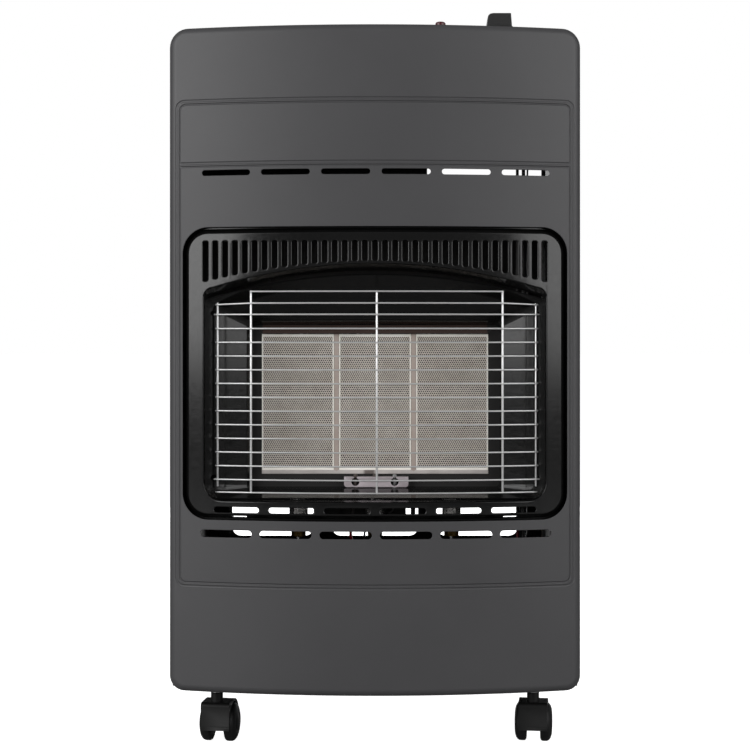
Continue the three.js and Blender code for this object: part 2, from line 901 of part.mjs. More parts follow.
// Reflector: a flange on the back of the mouth and four walls that close in on the burner
function reflector() {
  const front = mouthBackY + fit;
  const flangeBack = front + reflectorSheet;
  const flange = prismY(
    polygon(archedOutline({ ...mouthOutline, grow: reflectorFlange })),
    front,
    flangeBack,
  );
  const backY = burnerY - burnerFrameSheet - fit;
  const kneeY = front + (backY - front) * reflectorKneeDepthShare;
  const walls = (grow) => {
    const throat = archedOutline({ ...throatOutline, grow });
    const knee = archedOutline({ ...reflectorKneeOutline, grow });
    const end = archedOutline({ ...reflectorBackOutline, grow });
    return join(loft(throat, front, knee, kneeY), loft(knee, kneeY, end, backY));
  };
  const inner = join(
    walls(0),
    prismY(polygon(archedOutline(throatOutline)), front - overrun, front),
    prismY(polygon(archedOutline(reflectorBackOutline)), backY, backY + overrun),
  );
  const holes = [-1, 1].flatMap((side) =>
    [guardUpperHeight, guardFirstHeight].map((height) => hookHole(side, height)),
  );
  return cut(join(flange, walls(reflectorSheet)), inner, pilotOpening(), ...holes);
}

// The way through the reflector's floor for the pilot's rods
function pilotOpening() {
  const half = pilotHoleSpacing / 2 + pilotHoleRadius;
  return block(
    [-half, half],
    [pilotRodY - pilotHoleRadius, pilotRodY + pilotHoleRadius],
    [mouthBottom - overrun, pilotLegZ - fit],
  );
}

function hookHole(side, height) {
  const opening = roundedBox(
    edgeY + guardEndSetback - hookHoleRadius,
    edgeY + guardEndSetback + hookHoleRadius,
    height - hookHoleRadius,
    height + hookHoleRise,
    hookHoleRadius - weld,
  );
  const near = side * (guardOuterPost - guardPost);
  const far = side * (mouthHalfWidth + reflectorFlange);
  return prismX(opening, Math.min(near, far), Math.max(near, far), slotSteps);
}

// Wire guard: bowed cross wires welded to the front of five upright wires
function guardWirePoints(reach) {
  const knee = guardInnerPost;
  const front = edgeY + guardFrontSetback;
  const drop = guardKneeSetback - guardFrontSetback;
  const archCount = archSteps / 2;
  const middle = Array.from({ length: archCount + 1 }, (_, i) => {
    const share = -1 + (2 * i) / archCount;
    return [share * knee, front + drop * share ** 2];
  });
  if (reach <= knee) return middle;
  const slope = (guardEndSetback - guardKneeSetback) / guardInnerPostInset;
  const end = edgeY + guardKneeSetback + slope * (Math.min(reach, guardHalfWidth) - knee);
  const hooked = reach > guardHalfWidth ? [[reach, end]] : [];
  const side = [[Math.min(reach, guardHalfWidth), end], ...hooked];
  const left = side.toReversed().map(([x, y]) => [-x, y]);
  return [...left, ...middle, ...side];
}

function guardGrille() {
  const across = (reach, height) => {
    const points = guardWirePoints(reach).map(([x, y]) => new THREE.Vector3(x, y, height));
    return sweep(points, guardWire / 2, wireSides);
  };
  const rows = Array.from({ length: guardPitchCount }, (_, i) => guardFirstHeight + i * guardPitch);
  const hookedReach = guardHalfWidth + guardHookReach;
  const wires = [
    across(hookedReach, rows[0]),
    ...rows.slice(1).map((height) => across(guardHalfWidth, height)),
    across(hookedReach, guardUpperHeight),
    across(guardHalfWidth, guardShoulderHeight),
    across(guardInnerPost + guardPost / 2, guardTopHeight),
    across(guardHalfWidth, guardBottomHeight),
  ];
  const behind = guardWire / 2 + guardPost / 2 - guardSink;
  const upright = (x, setback, bottom, top) => {
    const y = edgeY + setback + behind;
    return rod(guardPost / 2, [x, y, bottom], [x, y, top], wireSides);
  };
  const endSlope = (guardEndSetback - guardKneeSetback) / guardInnerPostInset;
  const outerSetback = guardEndSetback - endSlope * guardOuterPostInset;
  const posts = [
    upright(0, guardFrontSetback, guardBottomHeight - guardPost / 2, guardTopHeight + guardSink),
    ...[-1, 1].flatMap((side) => [
      upright(
        side * guardInnerPost,
        guardKneeSetback,
        guardBottomHeight - guardPost / 2,
        guardTopHeight + guardSink,
      ),
      upright(
        side * guardOuterPost,
        outerSetback,
        rows[0] - guardOuterPostDrop,
        guardShoulderHeight + guardSink,
      ),
    ]),
  ];
  return join(...wires, ...posts).translate([guardShift, 0, 0]);
}

// One burner: an open steel box with its mixing tube, and the ceramic plaque in its mouth
function burnerBox() {
  const [low, high] = [boxBottom, boxTop];
  const frontY = burnerY + fit;
  const shell = block([-boxHalfWidth, boxHalfWidth], [frontY, boxBackY], [low, high]);
  const inside = block(
    [-boxHalfWidth + burnerSheet, boxHalfWidth - burnerSheet],
    [frontY - overrun, boxBackY - burnerSheet],
    [low + burnerSheet, high - burnerSheet],
  );
  const mouth = venturiRadius + venturiFlare;
  const profile = [
    [venturiRadius - venturiWall, low + burnerSheet],
    [venturiRadius - venturiWall, venturiEnd + venturiFlareHeight],
    [mouth - venturiWall, venturiEnd],
    [mouth, venturiEnd],
    [venturiRadius, venturiEnd + venturiFlareHeight],
    [venturiRadius, low + burnerSheet],
    [venturiRadius - venturiWall, low + burnerSheet],
  ];
  const venturi = turned(profile).translate([0, venturiY, 0]);
  const bore = rod(
    venturiRadius - venturiWall,
    [0, venturiY, low - burnerSheet],
    [0, venturiY, low + burnerSheet + overrun],
  );
  return join(cut(shell, inside, bore), venturi);
}

function plaque() {
  const front = burnerY - plaqueProud;
  const body = block(
    [-plaqueWidth / 2, plaqueWidth / 2],
    [front, front + plaqueThickness],
    [plaqueBottom, plaqueTop],
  );
  const field = block(
    [-plaqueWidth / 2 + plaqueMargin, plaqueWidth / 2 - plaqueMargin],
    [front - overrun, front + plaqueFieldDepth],
    [plaqueBottom + plaqueBottomMargin, plaqueTop - plaqueTopMargin],
  );
  return cut(body, field);
}

// Burner frame: the plate that holds the three burners, with a lip turned out above them
function burnerFrame() {
  const half = burnerPitch + boxHalfWidth + burnerFrameBorder;
  const [back, front] = [burnerY, burnerY - burnerFrameSheet];
  const plate = block([-half, half], [front, back], [burnerFrameBottom, boxTop + burnerFrameBorder / 2]);
  const windows = burnerPlaces.map((x) =>
    block(
      [x - plaqueWidth / 2 - fit, x + plaqueWidth / 2 + fit],
      [front - overrun, back + overrun],
      [plaqueBottom - fit, plaqueTop + fit],
    ),
  );
  const lipHalf = burnerPitch + plaqueWidth / 2;
  const lip = block(
    [-lipHalf, lipHalf],
    [front - burnerFrameLip, back],
    [boxTop, boxTop + burnerFrameSheet],
  );
  return cut(join(plate, lip), ...windows);
}

const burnerPlaces = [-burnerPitch, 0, burnerPitch];
const sideNames = ["left", "centre", "right"];

// Carrier: the plate behind the burners, with flanges that reach back to the heat shield
function burnerCarrier() {
  const front = boxBackY + fit;
  const back = shieldY - fit;
  const across = [-reflectorBackHalfWidth, reflectorBackHalfWidth];
  const plate = block(across, [front, front + carrierSheet], [carrierBottom, carrierTop]);
  const flanges = [carrierBottom, carrierTop - carrierSheet].map((height) =>
    block(across, [front, back], [height, height + carrierSheet]),
  );
  return join(plate, ...flanges);
}

// Heat shield: the wall between the burner and the bottle, notched for the tap and its hose
function heatShield() {
  const half = sideInner - fit;
  const top = cabinetTop - shieldTopGap;
  const outline = polygon([
    [-half, shieldBottom],
    [half, shieldBottom],
    [half, shieldNotchBottom],
    [halfWidth - shieldNotchInset, shieldNotchBottom],
    [halfWidth - shieldNotchInset, top],
    [-half, top],
  ]);
  const hollow = block(
    [-half + sheet, half - sheet],
    [shieldY + sheet, shieldY + shieldFlange + overrun],
    [shieldBottom + sheet, top + overrun],
  );
  return cut(prismY(outline, shieldY, shieldY + shieldFlange), hollow);
}

// Injectors, their rail and the gas lines
function injector() {
  const top = injectorHexBottom + injectorHexHeight;
  const hex = prismZ(hexagon(0, 0, injectorHexWidth), injectorHexBottom, top);
  const tip = rod(
    injectorTipRadius,
    [0, 0, top - fit],
    [0, 0, top + injectorTipHeight],
    roundSides / 2,
    injectorTipRadius - injectorTipTaper,
  );
  return join(hex, tip).translate([0, venturiY, 0]);
}

function injectorRail() {
  const back = venturiY + railUpstandDepth;
  const depth = [venturiY - railDepth / 2, back];
  const plate = block([-railHalfWidth, railHalfWidth], depth, [railZ, railZ + railSheet]);
  const upstand = block(
    [-railUpstandLeft, railUpstandRight],
    [back - railSheet, back],
    [railZ, railZ + railUpstandHeight],
  );
  const holes = burnerPlaces.map((x) =>
    rod(
      injectorTipRadius + fit,
      [x, venturiY, railZ - overrun],
      [x, venturiY, railZ + railSheet + overrun],
      roundSides / 2,
    ),
  );
  const legs = [-1, 1].map((side) =>
    block(
      [(side * burnerPitch - railLegWidth) / 2, (side * burnerPitch + railLegWidth) / 2],
      [venturiY + railDepth / 2 - railSheet, venturiY + railDepth / 2],
      [railZ, boxBottom - fit],
    ),
  );
  return cut(join(plate, upstand, ...legs), ...holes);
}

// Each line leaves the tap, drops beside the burner, runs across under it and rises to its injector
function gasPipe(index) {
  const [across, run, riser] = [burnerPlaces[index], gasRunHeights[index], halfWidth - gasRiserInsets[index]];
  const outlet = tapTop - tapOutletDrop - index * tapOutletPitch;
  const corners = [
    [knobAcross + tapWidth / 2 + fit, gasRiserY, outlet],
    [riser, gasRiserY, outlet],
    [riser, gasRiserY, run],
    [across, venturiY, run],
    [across, venturiY, injectorHexBottom - fit],
  ];
  return tube(corners, gasPipeRadius, gasPipeBend);
}

// The pilot's bracket, burner, probe and electrode stand in front of the middle burner
const pilotY = edgeY + pilotBracketSetback;
const pilotRodY = burnerY - burnerFrameSheet - pilotStandoff;
const pilotSides = [-pilotHoleSpacing / 2, 0, pilotHoleSpacing / 2];
const pilotLegZ = pilotBracketTop - pilotBracketSheet;
const rodFit = fit / 2;

function pilotBracket() {
  const half = pilotBracketWidth / 2;
  const across = [pilotBracketShift - half, pilotBracketShift + half];
  const low = pilotBracketTop - pilotBracketHeight;
  const face = block(across, [pilotY, pilotY + pilotBracketSheet], [low, pilotBracketTop]);
  const leg = block(across, [pilotY, burnerY - burnerFrameSheet - fit], [pilotLegZ, pilotBracketTop]);
  const sights = [pilotSides[0], pilotSides[2]].map((x) =>
    prismY(
      disc(x, low + pilotHoleRadius + pilotBracketSheet / 2, pilotHoleRadius),
      pilotY - overrun,
      pilotY + pilotBracketSheet + pilotBracketSheet,
      roundSides / 2,
    ),
  );
  const holes = pilotSides.map((x) =>
    rod(
      pilotBurnerRadius + rodFit,
      [x, pilotRodY, pilotLegZ - pilotBracketSheet],
      [x, pilotRodY, pilotBracketTop + pilotBracketSheet],
      roundSides / 2,
    ),
  );
  return cut(join(face, leg), ...sights, ...holes);
}

function pilotRod(x, radius) {
  const top = pilotBracketTop + probeRise;
  return rod(radius, [x, pilotRodY, top - probeLength], [x, pilotRodY, top], roundSides / 2);
}

const probeEnd = pilotBracketTop + probeRise - probeLength;
const tapSide = knobAcross + tapWidth / 2 + fit;

// The fine lines drop in front of the burner's mouth, turn back under it and climb beside the risers
const underBurner = ([across, behind, above]) => [across, venturiY + behind, injectorHexBottom + above];
const besideRisers = ({ inset, behind }, height) => [halfWidth - inset, gasRiserY + behind, height];

function climbToTap(turns, climb, levels) {
  const across = halfWidth - climb.inset;
  const behind = controlY + levels.behind;
  return [
    ...turns.map(underBurner),
    besideRisers(climb, injectorHexBottom + turns.at(-1)[2]),
    besideRisers(climb, tapTop - levels.bend),
    [across, behind, tapTop - levels.turn],
    [across, behind, tapTop - levels.end],
    [tapSide, behind, tapTop - levels.end],
  ];
}

const pilotPipeRoute = [
  [0, pilotRodY, probeEnd - 2 * fit],
  [0, pilotRodY, probeEnd - pilotPipeDrop],
  ...climbToTap(pilotPipeTurns, pilotPipeClimb, pilotPipeLevels),
];
const thermocoupleRoute = [
  [pilotSides[2], pilotRodY, probeEnd + fit],
  ...climbToTap(thermocoupleTurns, thermocoupleClimb, thermocoupleLevels),
];
const ignitionLeadRoute = [
  [pilotSides[0], pilotRodY, probeEnd - fit],
  ...leadTurns.map(underBurner),
  [halfWidth - leadClimb.inset, venturiY + leadCorner.behind, injectorHexBottom + leadCorner.above],
  besideRisers(leadClimb, injectorHexBottom + leadCorner.rise),
  besideRisers(leadClimb, tapTop - leadLevels.bend),
  [buttonAcross + leadCrossing.across, controlY + leadCrossing.behind, tapTop - leadLevels.cross],
  [buttonAcross, controlY, tapTop - leadLevels.turn],
  [buttonAcross, controlY, ceilingZ - fit - igniterLength - fit],
];

// Tap, its bracket, the hose inlet and the igniter hang under the top panel
function gasTap() {
  const half = tapWidth / 2;
  const bottom = tapTop - tapHeight;
  const outline = roundedBox(-half, half, bottom, tapTop, tapCorner);
  const body = prismY(outline, controlY - tapDepth / 2, controlY + tapDepth / 2);
  const boss = rod(tapBossRadius, [0, controlY, tapTop - fit], [0, controlY, tapTop + tapBossHeight]);
  const bore = rod(
    spindleRadius + fit,
    [0, controlY, tapTop - tapHeight / 2],
    [0, controlY, tapTop + tapBossHeight + overrun],
  );
  const side = block(
    [half - tapCorner, half],
    [controlY, gasRiserY + gasPipeRadius + fit],
    [bottom + tapCorner, tapTop - fit],
  );
  return cut(join(body, boss, side), bore);
}

function tapBracket() {
  const front = Math.max(controlY + tapDepth / 2, gasRiserY + gasPipeRadius + fit) + fit;
  const high = ceilingZ - fit;
  const low = tapTop - tapHeight;
  const half = bracketWidth / 2;
  const web = block([-half, half], [front, front + bracketSheet], [low, high]);
  const flange = block([-half, half], [front, front + bracketDepth], [high - bracketSheet, high]);
  const hole = prismY(
    disc(0, tapTop - inletDrop, inletCollarRadius + fit),
    front - overrun,
    front + bracketSheet + overrun / 2,
    roundSides / 2,
  );
  return cut(join(web, flange), hole);
}

function hoseInlet() {
  const start = controlY + tapDepth / 2 + fit;
  const barbPitch = (inletLength - inletHexLength - inletCollarLength) / inletBarbCount;
  const profile = [
    [inletBore, 0],
    [inletCollarRadius, 0],
    [inletCollarRadius, inletCollarLength + weld],
    [inletRadius, inletCollarLength + inletHexLength],
  ];
  for (let i = 0; i < inletBarbCount; i++) {
    const at = inletCollarLength + inletHexLength + i * barbPitch;
    profile.push([inletRadius, at + barbPitch / 2], [inletRadius + inletBarb, at + barbPitch / 2]);
    profile.push([inletRadius, at + barbPitch]);
  }
  profile.push([inletBore, inletLength], [inletBore, 0]);
  const spout = turned(profile, roundSides).rotate([-90, 0, 0]);
  const hex = cut(
    prismY(hexagon(0, 0, inletHexWidth), inletCollarLength, inletCollarLength + inletHexLength),
    rod(inletBore, [0, 0, 0], [0, inletLength, 0]),
  );
  return join(hex, spout).translate([0, start, tapTop - inletDrop]);
}

function knobSpindle() {
  const collarTop = tapTop + tapBossHeight + springLength + spindleCollarHeight + fit;
  const shaft = rod(
    spindleRadius,
    [0, controlY, tapTop - tapHeight / 4],
    [0, controlY, knobTop - knobWall - fit],
  );
  const collar = rod(
    spindleCollarRadius,
    [0, controlY, collarTop - spindleCollarHeight],
    [0, controlY, collarTop],
  );
  return join(shaft, collar);
}

function knobSpring() {
  const radius = spindleRadius + fit + springWire + springWire;
  const bottom = tapTop + tapBossHeight + fit + springWire;
  const rise = springLength - springWire - springWire - fit - fit;
  const steps = springTurns * springStepsPerTurn;
  const points = Array.from({ length: steps + 1 }, (_, i) => {
    const angle = (i / springStepsPerTurn) * 2 * Math.PI;
    return new THREE.Vector3(
      radius * Math.cos(angle),
      controlY + radius * Math.sin(angle),
      bottom + (rise * i) / steps,
    );
  });
  return sweep(points, springWire, springSides);
}

function controlKnob() {
  const bottom = cabinetTop + knobTravel + fit;
  const skirtTop = bottom + knobSkirtHeight;
  const skirt = rod(
    knobSkirtRadius,
    [0, controlY, bottom],
    [0, controlY, skirtTop],
    roundSides * 2,
    knobSkirtRadius - knobSkirtHeight / 2,
  );
  const [foot, crest] = [knobGripWidth / 2, knobGripTopWidth / 2];
  const shape = new THREE.Shape();
  shape.moveTo(-foot, skirtTop - fit);
  shape.lineTo(foot, skirtTop - fit);
  shape.lineTo(crest, knobTop);
  shape.lineTo(-crest + knobGripRadius, knobTop);
  shape.quadraticCurveTo(-crest, knobTop, -crest, knobTop - knobGripRadius);
  const half = knobGripThickness / 2;
  const grip = prismY(shape, controlY - half, controlY + half);
  const socket = rod(
    spindleRadius + fit,
    [0, controlY, bottom - overrun],
    [0, controlY, knobTop - knobWall],
  );
  return cut(join(skirt, grip), socket);
}

function igniterBody() {
  const top = ceilingZ - fit;
  const boreDepth = buttonLength - (buttonTop - cabinetTop) + buttonTravel + overrun;
  const body = rod(igniterRadius, [0, controlY, top - igniterLength], [0, controlY, top]);
  const flange = rod(igniterFlangeRadius, [0, controlY, top - igniterFlangeHeight], [0, controlY, top]);
  const bore = rod(buttonRadius + fit, [0, controlY, top - boreDepth], [0, controlY, top + overrun]);
  return cut(join(body, flange), bore);
}

function igniterButton() {
  const low = buttonTop - buttonLength;
  const profile = [
    [0, low],
    [buttonRadius, low],
    [buttonRadius, buttonTop - buttonDome],
    [buttonRadius - buttonDome / 2, buttonTop - buttonDome / 4],
    [buttonRadius / 2, buttonTop],
    [0, buttonTop],
  ];
  return turned(profile, roundSides).translate([0, controlY, 0]);
}

// Cabinet shell: sides, top and base
function sidePanel(side) {
  const [inner, outer] = [sideInner, sideOuter];
  const front = edgeY + sideClearance;
  const top = cabinetTop - panelTopRadius - sheet;
  const notch = flangeY + fit;
  const outline = polygon([
    [front, top],
    [front, cabinetBottom + sideFrontRise],
    [notch, cabinetBottom + sideFrontRise],
    [notch, baseZ],
    [rearY, baseZ],
    [rearY, top],
  ]);
  const wall = prismX(outline, inner, outer);
  const flange = block(
    [outer - sideFlange, outer],
    [rearY - sheet, rearY],
    [sideFlangeBottom, sideFlangeTop],
  );
  const slots = hookLevels.map((level) => {
    const low = level + hookHeight - hookNeck - fit;
    return block(
      [hookAcross - hookWidth / 2 - fit, hookAcross + hookWidth / 2 + fit],
      [rearY - sheet - overrun, rearY + overrun],
      [low, low + hookHeight + fit + fit + fit],
    );
  });
  const right = cut(join(wall, flange), ...slots);
  return side > 0 ? right : right.mirror([1, 0, 0]);
}

const hookAcross = sideOuter - sideFlange / 2;

function topPanel() {
  const radius = panelTopRadius;
  const front = flangeY + fit;
  const low = cabinetTop - topSkirt;
  const cap = (half, top, bend, bottom) =>
    polygon([
      [-half, bottom],
      [half, bottom],
      ...cornerArc(half - bend, top - bend, bend, 0, Math.PI / 2, cornerSteps),
      ...cornerArc(-half + bend, top - bend, bend, Math.PI / 2, Math.PI, cornerSteps),
    ]);
  const outer = prismY(cap(halfWidth, cabinetTop, radius, low), front, rearY);
  const inner = prismY(
    cap(halfWidth - sheet, ceilingZ, radius - sheet, low - overrun),
    front - overrun,
    rearY - sheet,
  );
  const rearHalf = sideInner - fit;
  const rear = block(
    [-rearHalf, rearHalf],
    [rearY - sheet, rearY],
    [cabinetTop - topRearFlange, low + sheet],
  );
  const sideGap = (side) =>
    block(
      side < 0 ? [-sideOuter - fit, -rearHalf] : [rearHalf, sideOuter + fit],
      [rearY - sheet - overrun, rearY + overrun],
      [low - overrun, cabinetTop - panelTopRadius],
    );
  const spindleOpening = rod(
    spindleHole,
    [knobAcross, controlY, ceilingZ - overrun],
    [knobAcross, controlY, cabinetTop + overrun],
  );
  const buttonOpening = rod(
    buttonRadius + fit,
    [buttonAcross, controlY, ceilingZ - overrun],
    [buttonAcross, controlY, cabinetTop + overrun],
  );
  return cut(join(cut(outer, inner), rear), sideGap(-1), sideGap(1), spindleOpening, buttonOpening);
}

// Base plate: a pan with a low stand for the bottle and a tongue that reaches under the front
function basePlate() {
  const half = sideInner - fit;
  const front = flangeY + fit;
  const lipTop = sideFlangeBottom - fit;
  const pan = cut(
    block([-half, half], [front, rearY], [baseZ, lipTop]),
    block(
      [-half + sheet, half - sheet],
      [front + sheet, rearY - sheet],
      [baseZ + sheet, lipTop + overrun],
    ),
  );
  const tongue = block(
    [-half + baseTongueInset, half - baseTongueInset],
    [edgeY + baseTongueSetback, front + sheet],
    [baseZ, baseZ + sheet],
  );
  const holes = casterPlaces.map(([x, y]) =>
    rod(spigotHole, [x, y, baseZ - overrun], [x, y, baseZ + sheet + overrun]),
  );
  const plateTop = baseZ + sheet;
  const inset = half - traySideInset;
  const [trayFront, trayRear] = [shieldY + trayFrontInset, rearY - trayRearInset];
  const stand = block([-inset, inset], [trayFront, trayRear], [plateTop - sheet / 2, plateTop + trayRise]);
  const hollow = block(
    [-inset + sheet, inset - sheet],
    [trayFront + sheet, trayRear - sheet],
    [baseZ - overrun, baseZ + trayRise],
  );
  return cut(join(pan, tongue, stand), hollow, ...holes);
}

// Rear cover: a dished sheet with three air windows, hung on four hooks and two tabs
function rearCover() {
  const half = sideOuter - coverOverlap;
  const flatY = rearY + fit;
  const flat = prismY(
    roundedBox(-half, half, coverBottom, coverTop, coverRadius),
    flatY,
    flatY + coverSheet,
  );
  const dish = {
    half: half - coverBulgeInset,
    bottom: coverBulgeBottom,
    top: coverTop - coverBulgeInset,
    topRadius: coverRadius,
    bottomRadius: coverRadius,
    edgeRadius: coverBulgeEdge,
    columns: 2,
    face: () => apexY,
  };
  const turnRound = (body) => body.rotate([0, 0, 180]);
  const bulge = turnRound(pressing({ ...dish, back: -flatY }));
  const hollow = turnRound(pressing({ ...dish, inset: coverSheet, back: -flatY + overrun }));
  const shell = cut(join(flat, bulge), hollow);
  const through = [rearY - overrun, -apexY + overrun];
  const outer = halfWidth - coverWindowInset;
  const inner = outer - coverWindowWidth;
  const middle = inner - coverWindowBridge;
  const windows = [
    [-middle, middle],
    [inner, outer],
    [-outer, -inner],
  ].map(([from, to]) =>
    prismY(roundedBox(from, to, coverWindowBottom, coverWindowTop, coverWindowRadius), ...through),
  );
  const handHold = prismY(
    roundedBox(
      -gripWidth / 2,
      gripWidth / 2,
      gripLevel - gripHeight / 2,
      gripLevel + gripHeight / 2,
      gripHeight / 2,
    ),
    ...through,
  );
  return join(cut(shell, ...windows, handHold), ...coverHooks(flatY), ...coverTabs(flatY));
}

function coverHooks(flatY) {
  const inside = rearY - sheet - fit;
  return [-1, 1].flatMap((side) =>
    hookLevels.flatMap((level) => {
      const x = side * hookAcross;
      const across = [x - hookWidth / 2, x + hookWidth / 2];
      const top = level + hookHeight;
      const neck = block(across, [inside - hookThickness, flatY + coverSheet], [top - hookNeck, top]);
      const finger = block(across, [inside - hookThickness, inside], [level, top]);
      return [neck, finger];
    }),
  );
}

function coverTabs(flatY) {
  const inside = rearY - sheet - fit;
  const lipTop = sideFlangeBottom - fit;
  return [-1, 1].flatMap((side) => {
    const x = side * (halfWidth - tabInset);
    const across = [x - tabWidth / 2, x + tabWidth / 2];
    const shelf = block(
      across,
      [inside - hookThickness, flatY + coverSheet],
      [coverBottom - fit, coverBottom + coverSheet],
    );
    const tongueBottom = lipTop - tabReach + coverLift / 2;
    const tongue = block(across, [inside - hookThickness, inside], [tongueBottom, coverBottom]);
    return [shelf, tongue];
  });
}

// Casters
const frontStemY = edgeY + frontStemSetback;
const casterNames = ["front_left", "front_right", "rear_left", "rear_right"];
const casterPlaces = [
  [-casterAcross, frontStemY],
  [casterAcross, frontStemY],
  [-casterAcross, rearStemBehind],
  [casterAcross, rearStemBehind],
];

function casterStem() {
  const plateTop = baseZ + sheet + fit;
  const flangeTop = baseZ - fit;
  const profile = [
    [0, stemPinBottom],
    [stemPinRadius, stemPinBottom],
    [stemPinRadius, neckTop + fit],
    [neckRadius, neckTop + fit],
    [neckRadius, flangeTop - stemFlangeHeight],
    [stemFlangeRadius, flangeTop - stemFlangeHeight],
    [stemFlangeRadius, flangeTop],
    [spigotRadius, flangeTop],
    [spigotRadius, plateTop],
    [stemNutRadius, plateTop],
    [stemNutRadius, plateTop + stemNutHeight],
    [0, plateTop + stemNutHeight],
  ];
  return turned(profile, wheelSides);
}

// The hood is a shell over the front and top of the wheels, carried on a web between them
function casterHood() {
  const startAngle = THREE.MathUtils.degToRad(hoodFrontAngle);
  const endAngle = THREE.MathUtils.degToRad(hoodRearAngle);
  const rim = cornerArc(casterTrail, wheelRadius, hoodRadius, startAngle, endAngle, hoodSteps);
  const under = cornerArc(
    casterTrail,
    wheelRadius,
    hoodRadius - hoodWall,
    endAngle,
    startAngle,
    hoodSteps,
  );
  const shell = prismX(polygon([...rim, ...under]), -hoodHalfWidth, hoodHalfWidth);
  const webEnd = THREE.MathUtils.degToRad(hoodWebSetback);
  const webRim = cornerArc(
    casterTrail,
    wheelRadius,
    hoodRadius - hoodWall / 2,
    startAngle - webEnd,
    endAngle + webEnd,
    hoodSteps,
  );
  const web = prismX(polygon([...webRim, [casterTrail, wheelRadius]]), -webHalfWidth, webHalfWidth);
  const hub = prismX(
    disc(casterTrail, wheelRadius, hoodBossRadius),
    -hubHalfWidth,
    hubHalfWidth,
    roundSides / 2,
  );
  const axleBore = prismX(
    disc(casterTrail, wheelRadius, wheelBore),
    -hubHalfWidth - overrun,
    hubHalfWidth + overrun,
    roundSides / 2,
  );
  const neck = rod(neckRadius, [0, 0, stemPinBottom - fit], [0, 0, neckTop], wheelSides);
  const pinBore = rod(
    stemPinBore,
    [0, 0, stemPinBottom - fit],
    [0, 0, neckTop + overrun],
    wheelSides,
  );
  return cut(join(shell, web, hub, neck), axleBore, pinBore);
}

function casterAxle() {
  const [left, right] = [-axleHalfLength, axleHalfLength];
  return rod(axleRadius, [left, casterTrail, wheelRadius], [right, casterTrail, wheelRadius]);
}

function casterWheel(side) {
  const width = wheelOuter - wheelInner;
  const rimShares = [
    [0, 0.93],
    [0.08, 1],
    [0.54, 1],
    [0.78, 0.89],
    [0.94, 0.6],
  ];
  const rim = rimShares.map(([across, up]) => [up * wheelRadius, wheelInner + across * width]);
  const profile = [
    [0, axleHalfLength + fit],
    [wheelBore, axleHalfLength + fit],
    [wheelBore, wheelInner],
    ...rim,
    [0, wheelOuter],
  ];
  const wheel = turned(profile, wheelSides)
    .rotate([0, 90, 0])
    .translate([0, casterTrail, wheelRadius]);
  return side > 0 ? wheel : wheel.mirror([1, 0, 0]);
}

// The assembly
const heater = new THREE.Group();
const put = (name, shape, material, parent = heater) => {
  const mesh = node(name, shape, material);
  parent.add(mesh);
  return mesh;
};

put("front_panel", frontPanel(), finish.cabinetPaint);
put("burner_surround", burnerSurround(), finish.blackEnamel);
put("reflector", reflector(), finish.blackEnamel);
put("guard_grille", guardGrille(), finish.brightWire);
put("side_panel_left", sidePanel(-1), finish.cabinetPaint);
put("side_panel_right", sidePanel(1), finish.cabinetPaint);
put("top_panel", topPanel(), finish.cabinetPaint);
put("base_plate", basePlate(), finish.cabinetPaint);
put("rear_cover", rearCover(), finish.cabinetPaint);
put("heat_shield", heatShield(), finish.galvanised);
put("burner_carrier", burnerCarrier(), finish.galvanised);
put("burner_frame", burnerFrame(), finish.darkSteel);
put("injector_rail", injectorRail(), finish.galvanised);

burnerPlaces.forEach((x, i) => {
  const unit = new THREE.Group();
  unit.position.x = x;
  heater.add(unit);
  put(`burner_box_${sideNames[i]}`, burnerBox(), finish.burnerSteel, unit);
  put(`ceramic_plaque_${sideNames[i]}`, plaque(), finish.ceramic, unit);
  put(`injector_${sideNames[i]}`, injector(), finish.brass, unit);
  put(`gas_pipe_${sideNames[i]}`, gasPipe(i), finish.pipeMetal);
});

put("pilot_bracket", pilotBracket(), finish.burnerSteel);
put("spark_electrode", pilotRod(pilotSides[0], electrodeRadius), finish.ceramic);
put("pilot_burner", pilotRod(pilotSides[1], pilotBurnerRadius), finish.brass);
put(
  "thermocouple",
  join(
    pilotRod(pilotSides[2], electrodeRadius),
    tube(thermocoupleRoute, thermocoupleRadius, fineTubeBend),
  ),
  finish.pipeMetal,
);
put("pilot_pipe", tube(pilotPipeRoute, pilotPipeRadius, fineTubeBend), finish.pipeMetal);
put("ignition_lead", tube(ignitionLeadRoute, leadRadius, fineTubeBend), finish.redLead);

const control = new THREE.Group();
control.position.x = knobAcross;
heater.add(control);
put("gas_tap", gasTap(), finish.brass, control);
put("tap_bracket", tapBracket(), finish.galvanised, control);
put("hose_inlet", hoseInlet(), finish.brass, control);
put("knob_spindle", knobSpindle(), finish.pipeMetal, control);
put("knob_spring", knobSpring(), finish.pipeMetal, control);
put("control_knob", controlKnob(), finish.blackPlastic, control);

const ignition = new THREE.Group();
ignition.position.x = buttonAcross;
heater.add(ignition);
put("igniter_body", igniterBody(), finish.blackPlastic, ignition);
put("igniter_button", igniterButton(), finish.redPlastic, ignition);

casterPlaces.forEach(([x, y], i) => {
  const stand = new THREE.Group();
  stand.position.set(x, y, 0);
  heater.add(stand);
  put(`caster_stem_${casterNames[i]}`, casterStem(), finish.casterPlastic, stand);
  const swivel = new THREE.Group();
  swivel.rotation.z = THREE.MathUtils.degToRad(casterTurns[i]);
  stand.add(swivel);
  put(`caster_hood_${casterNames[i]}`, casterHood(), finish.casterPlastic, swivel);
  put(`caster_axle_${casterNames[i]}`, casterAxle(), finish.pipeMetal, swivel);
  put(`caster_wheel_${casterNames[i]}_l`, casterWheel(-1), finish.casterPlastic, swivel);
  put(`caster_wheel_${casterNames[i]}_r`, casterWheel(1), finish.casterPlastic, swivel);
});

export default heater;
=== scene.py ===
"""A gas convector heater on casters: its looks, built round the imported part."""

import json
import math
from contextlib import contextmanager

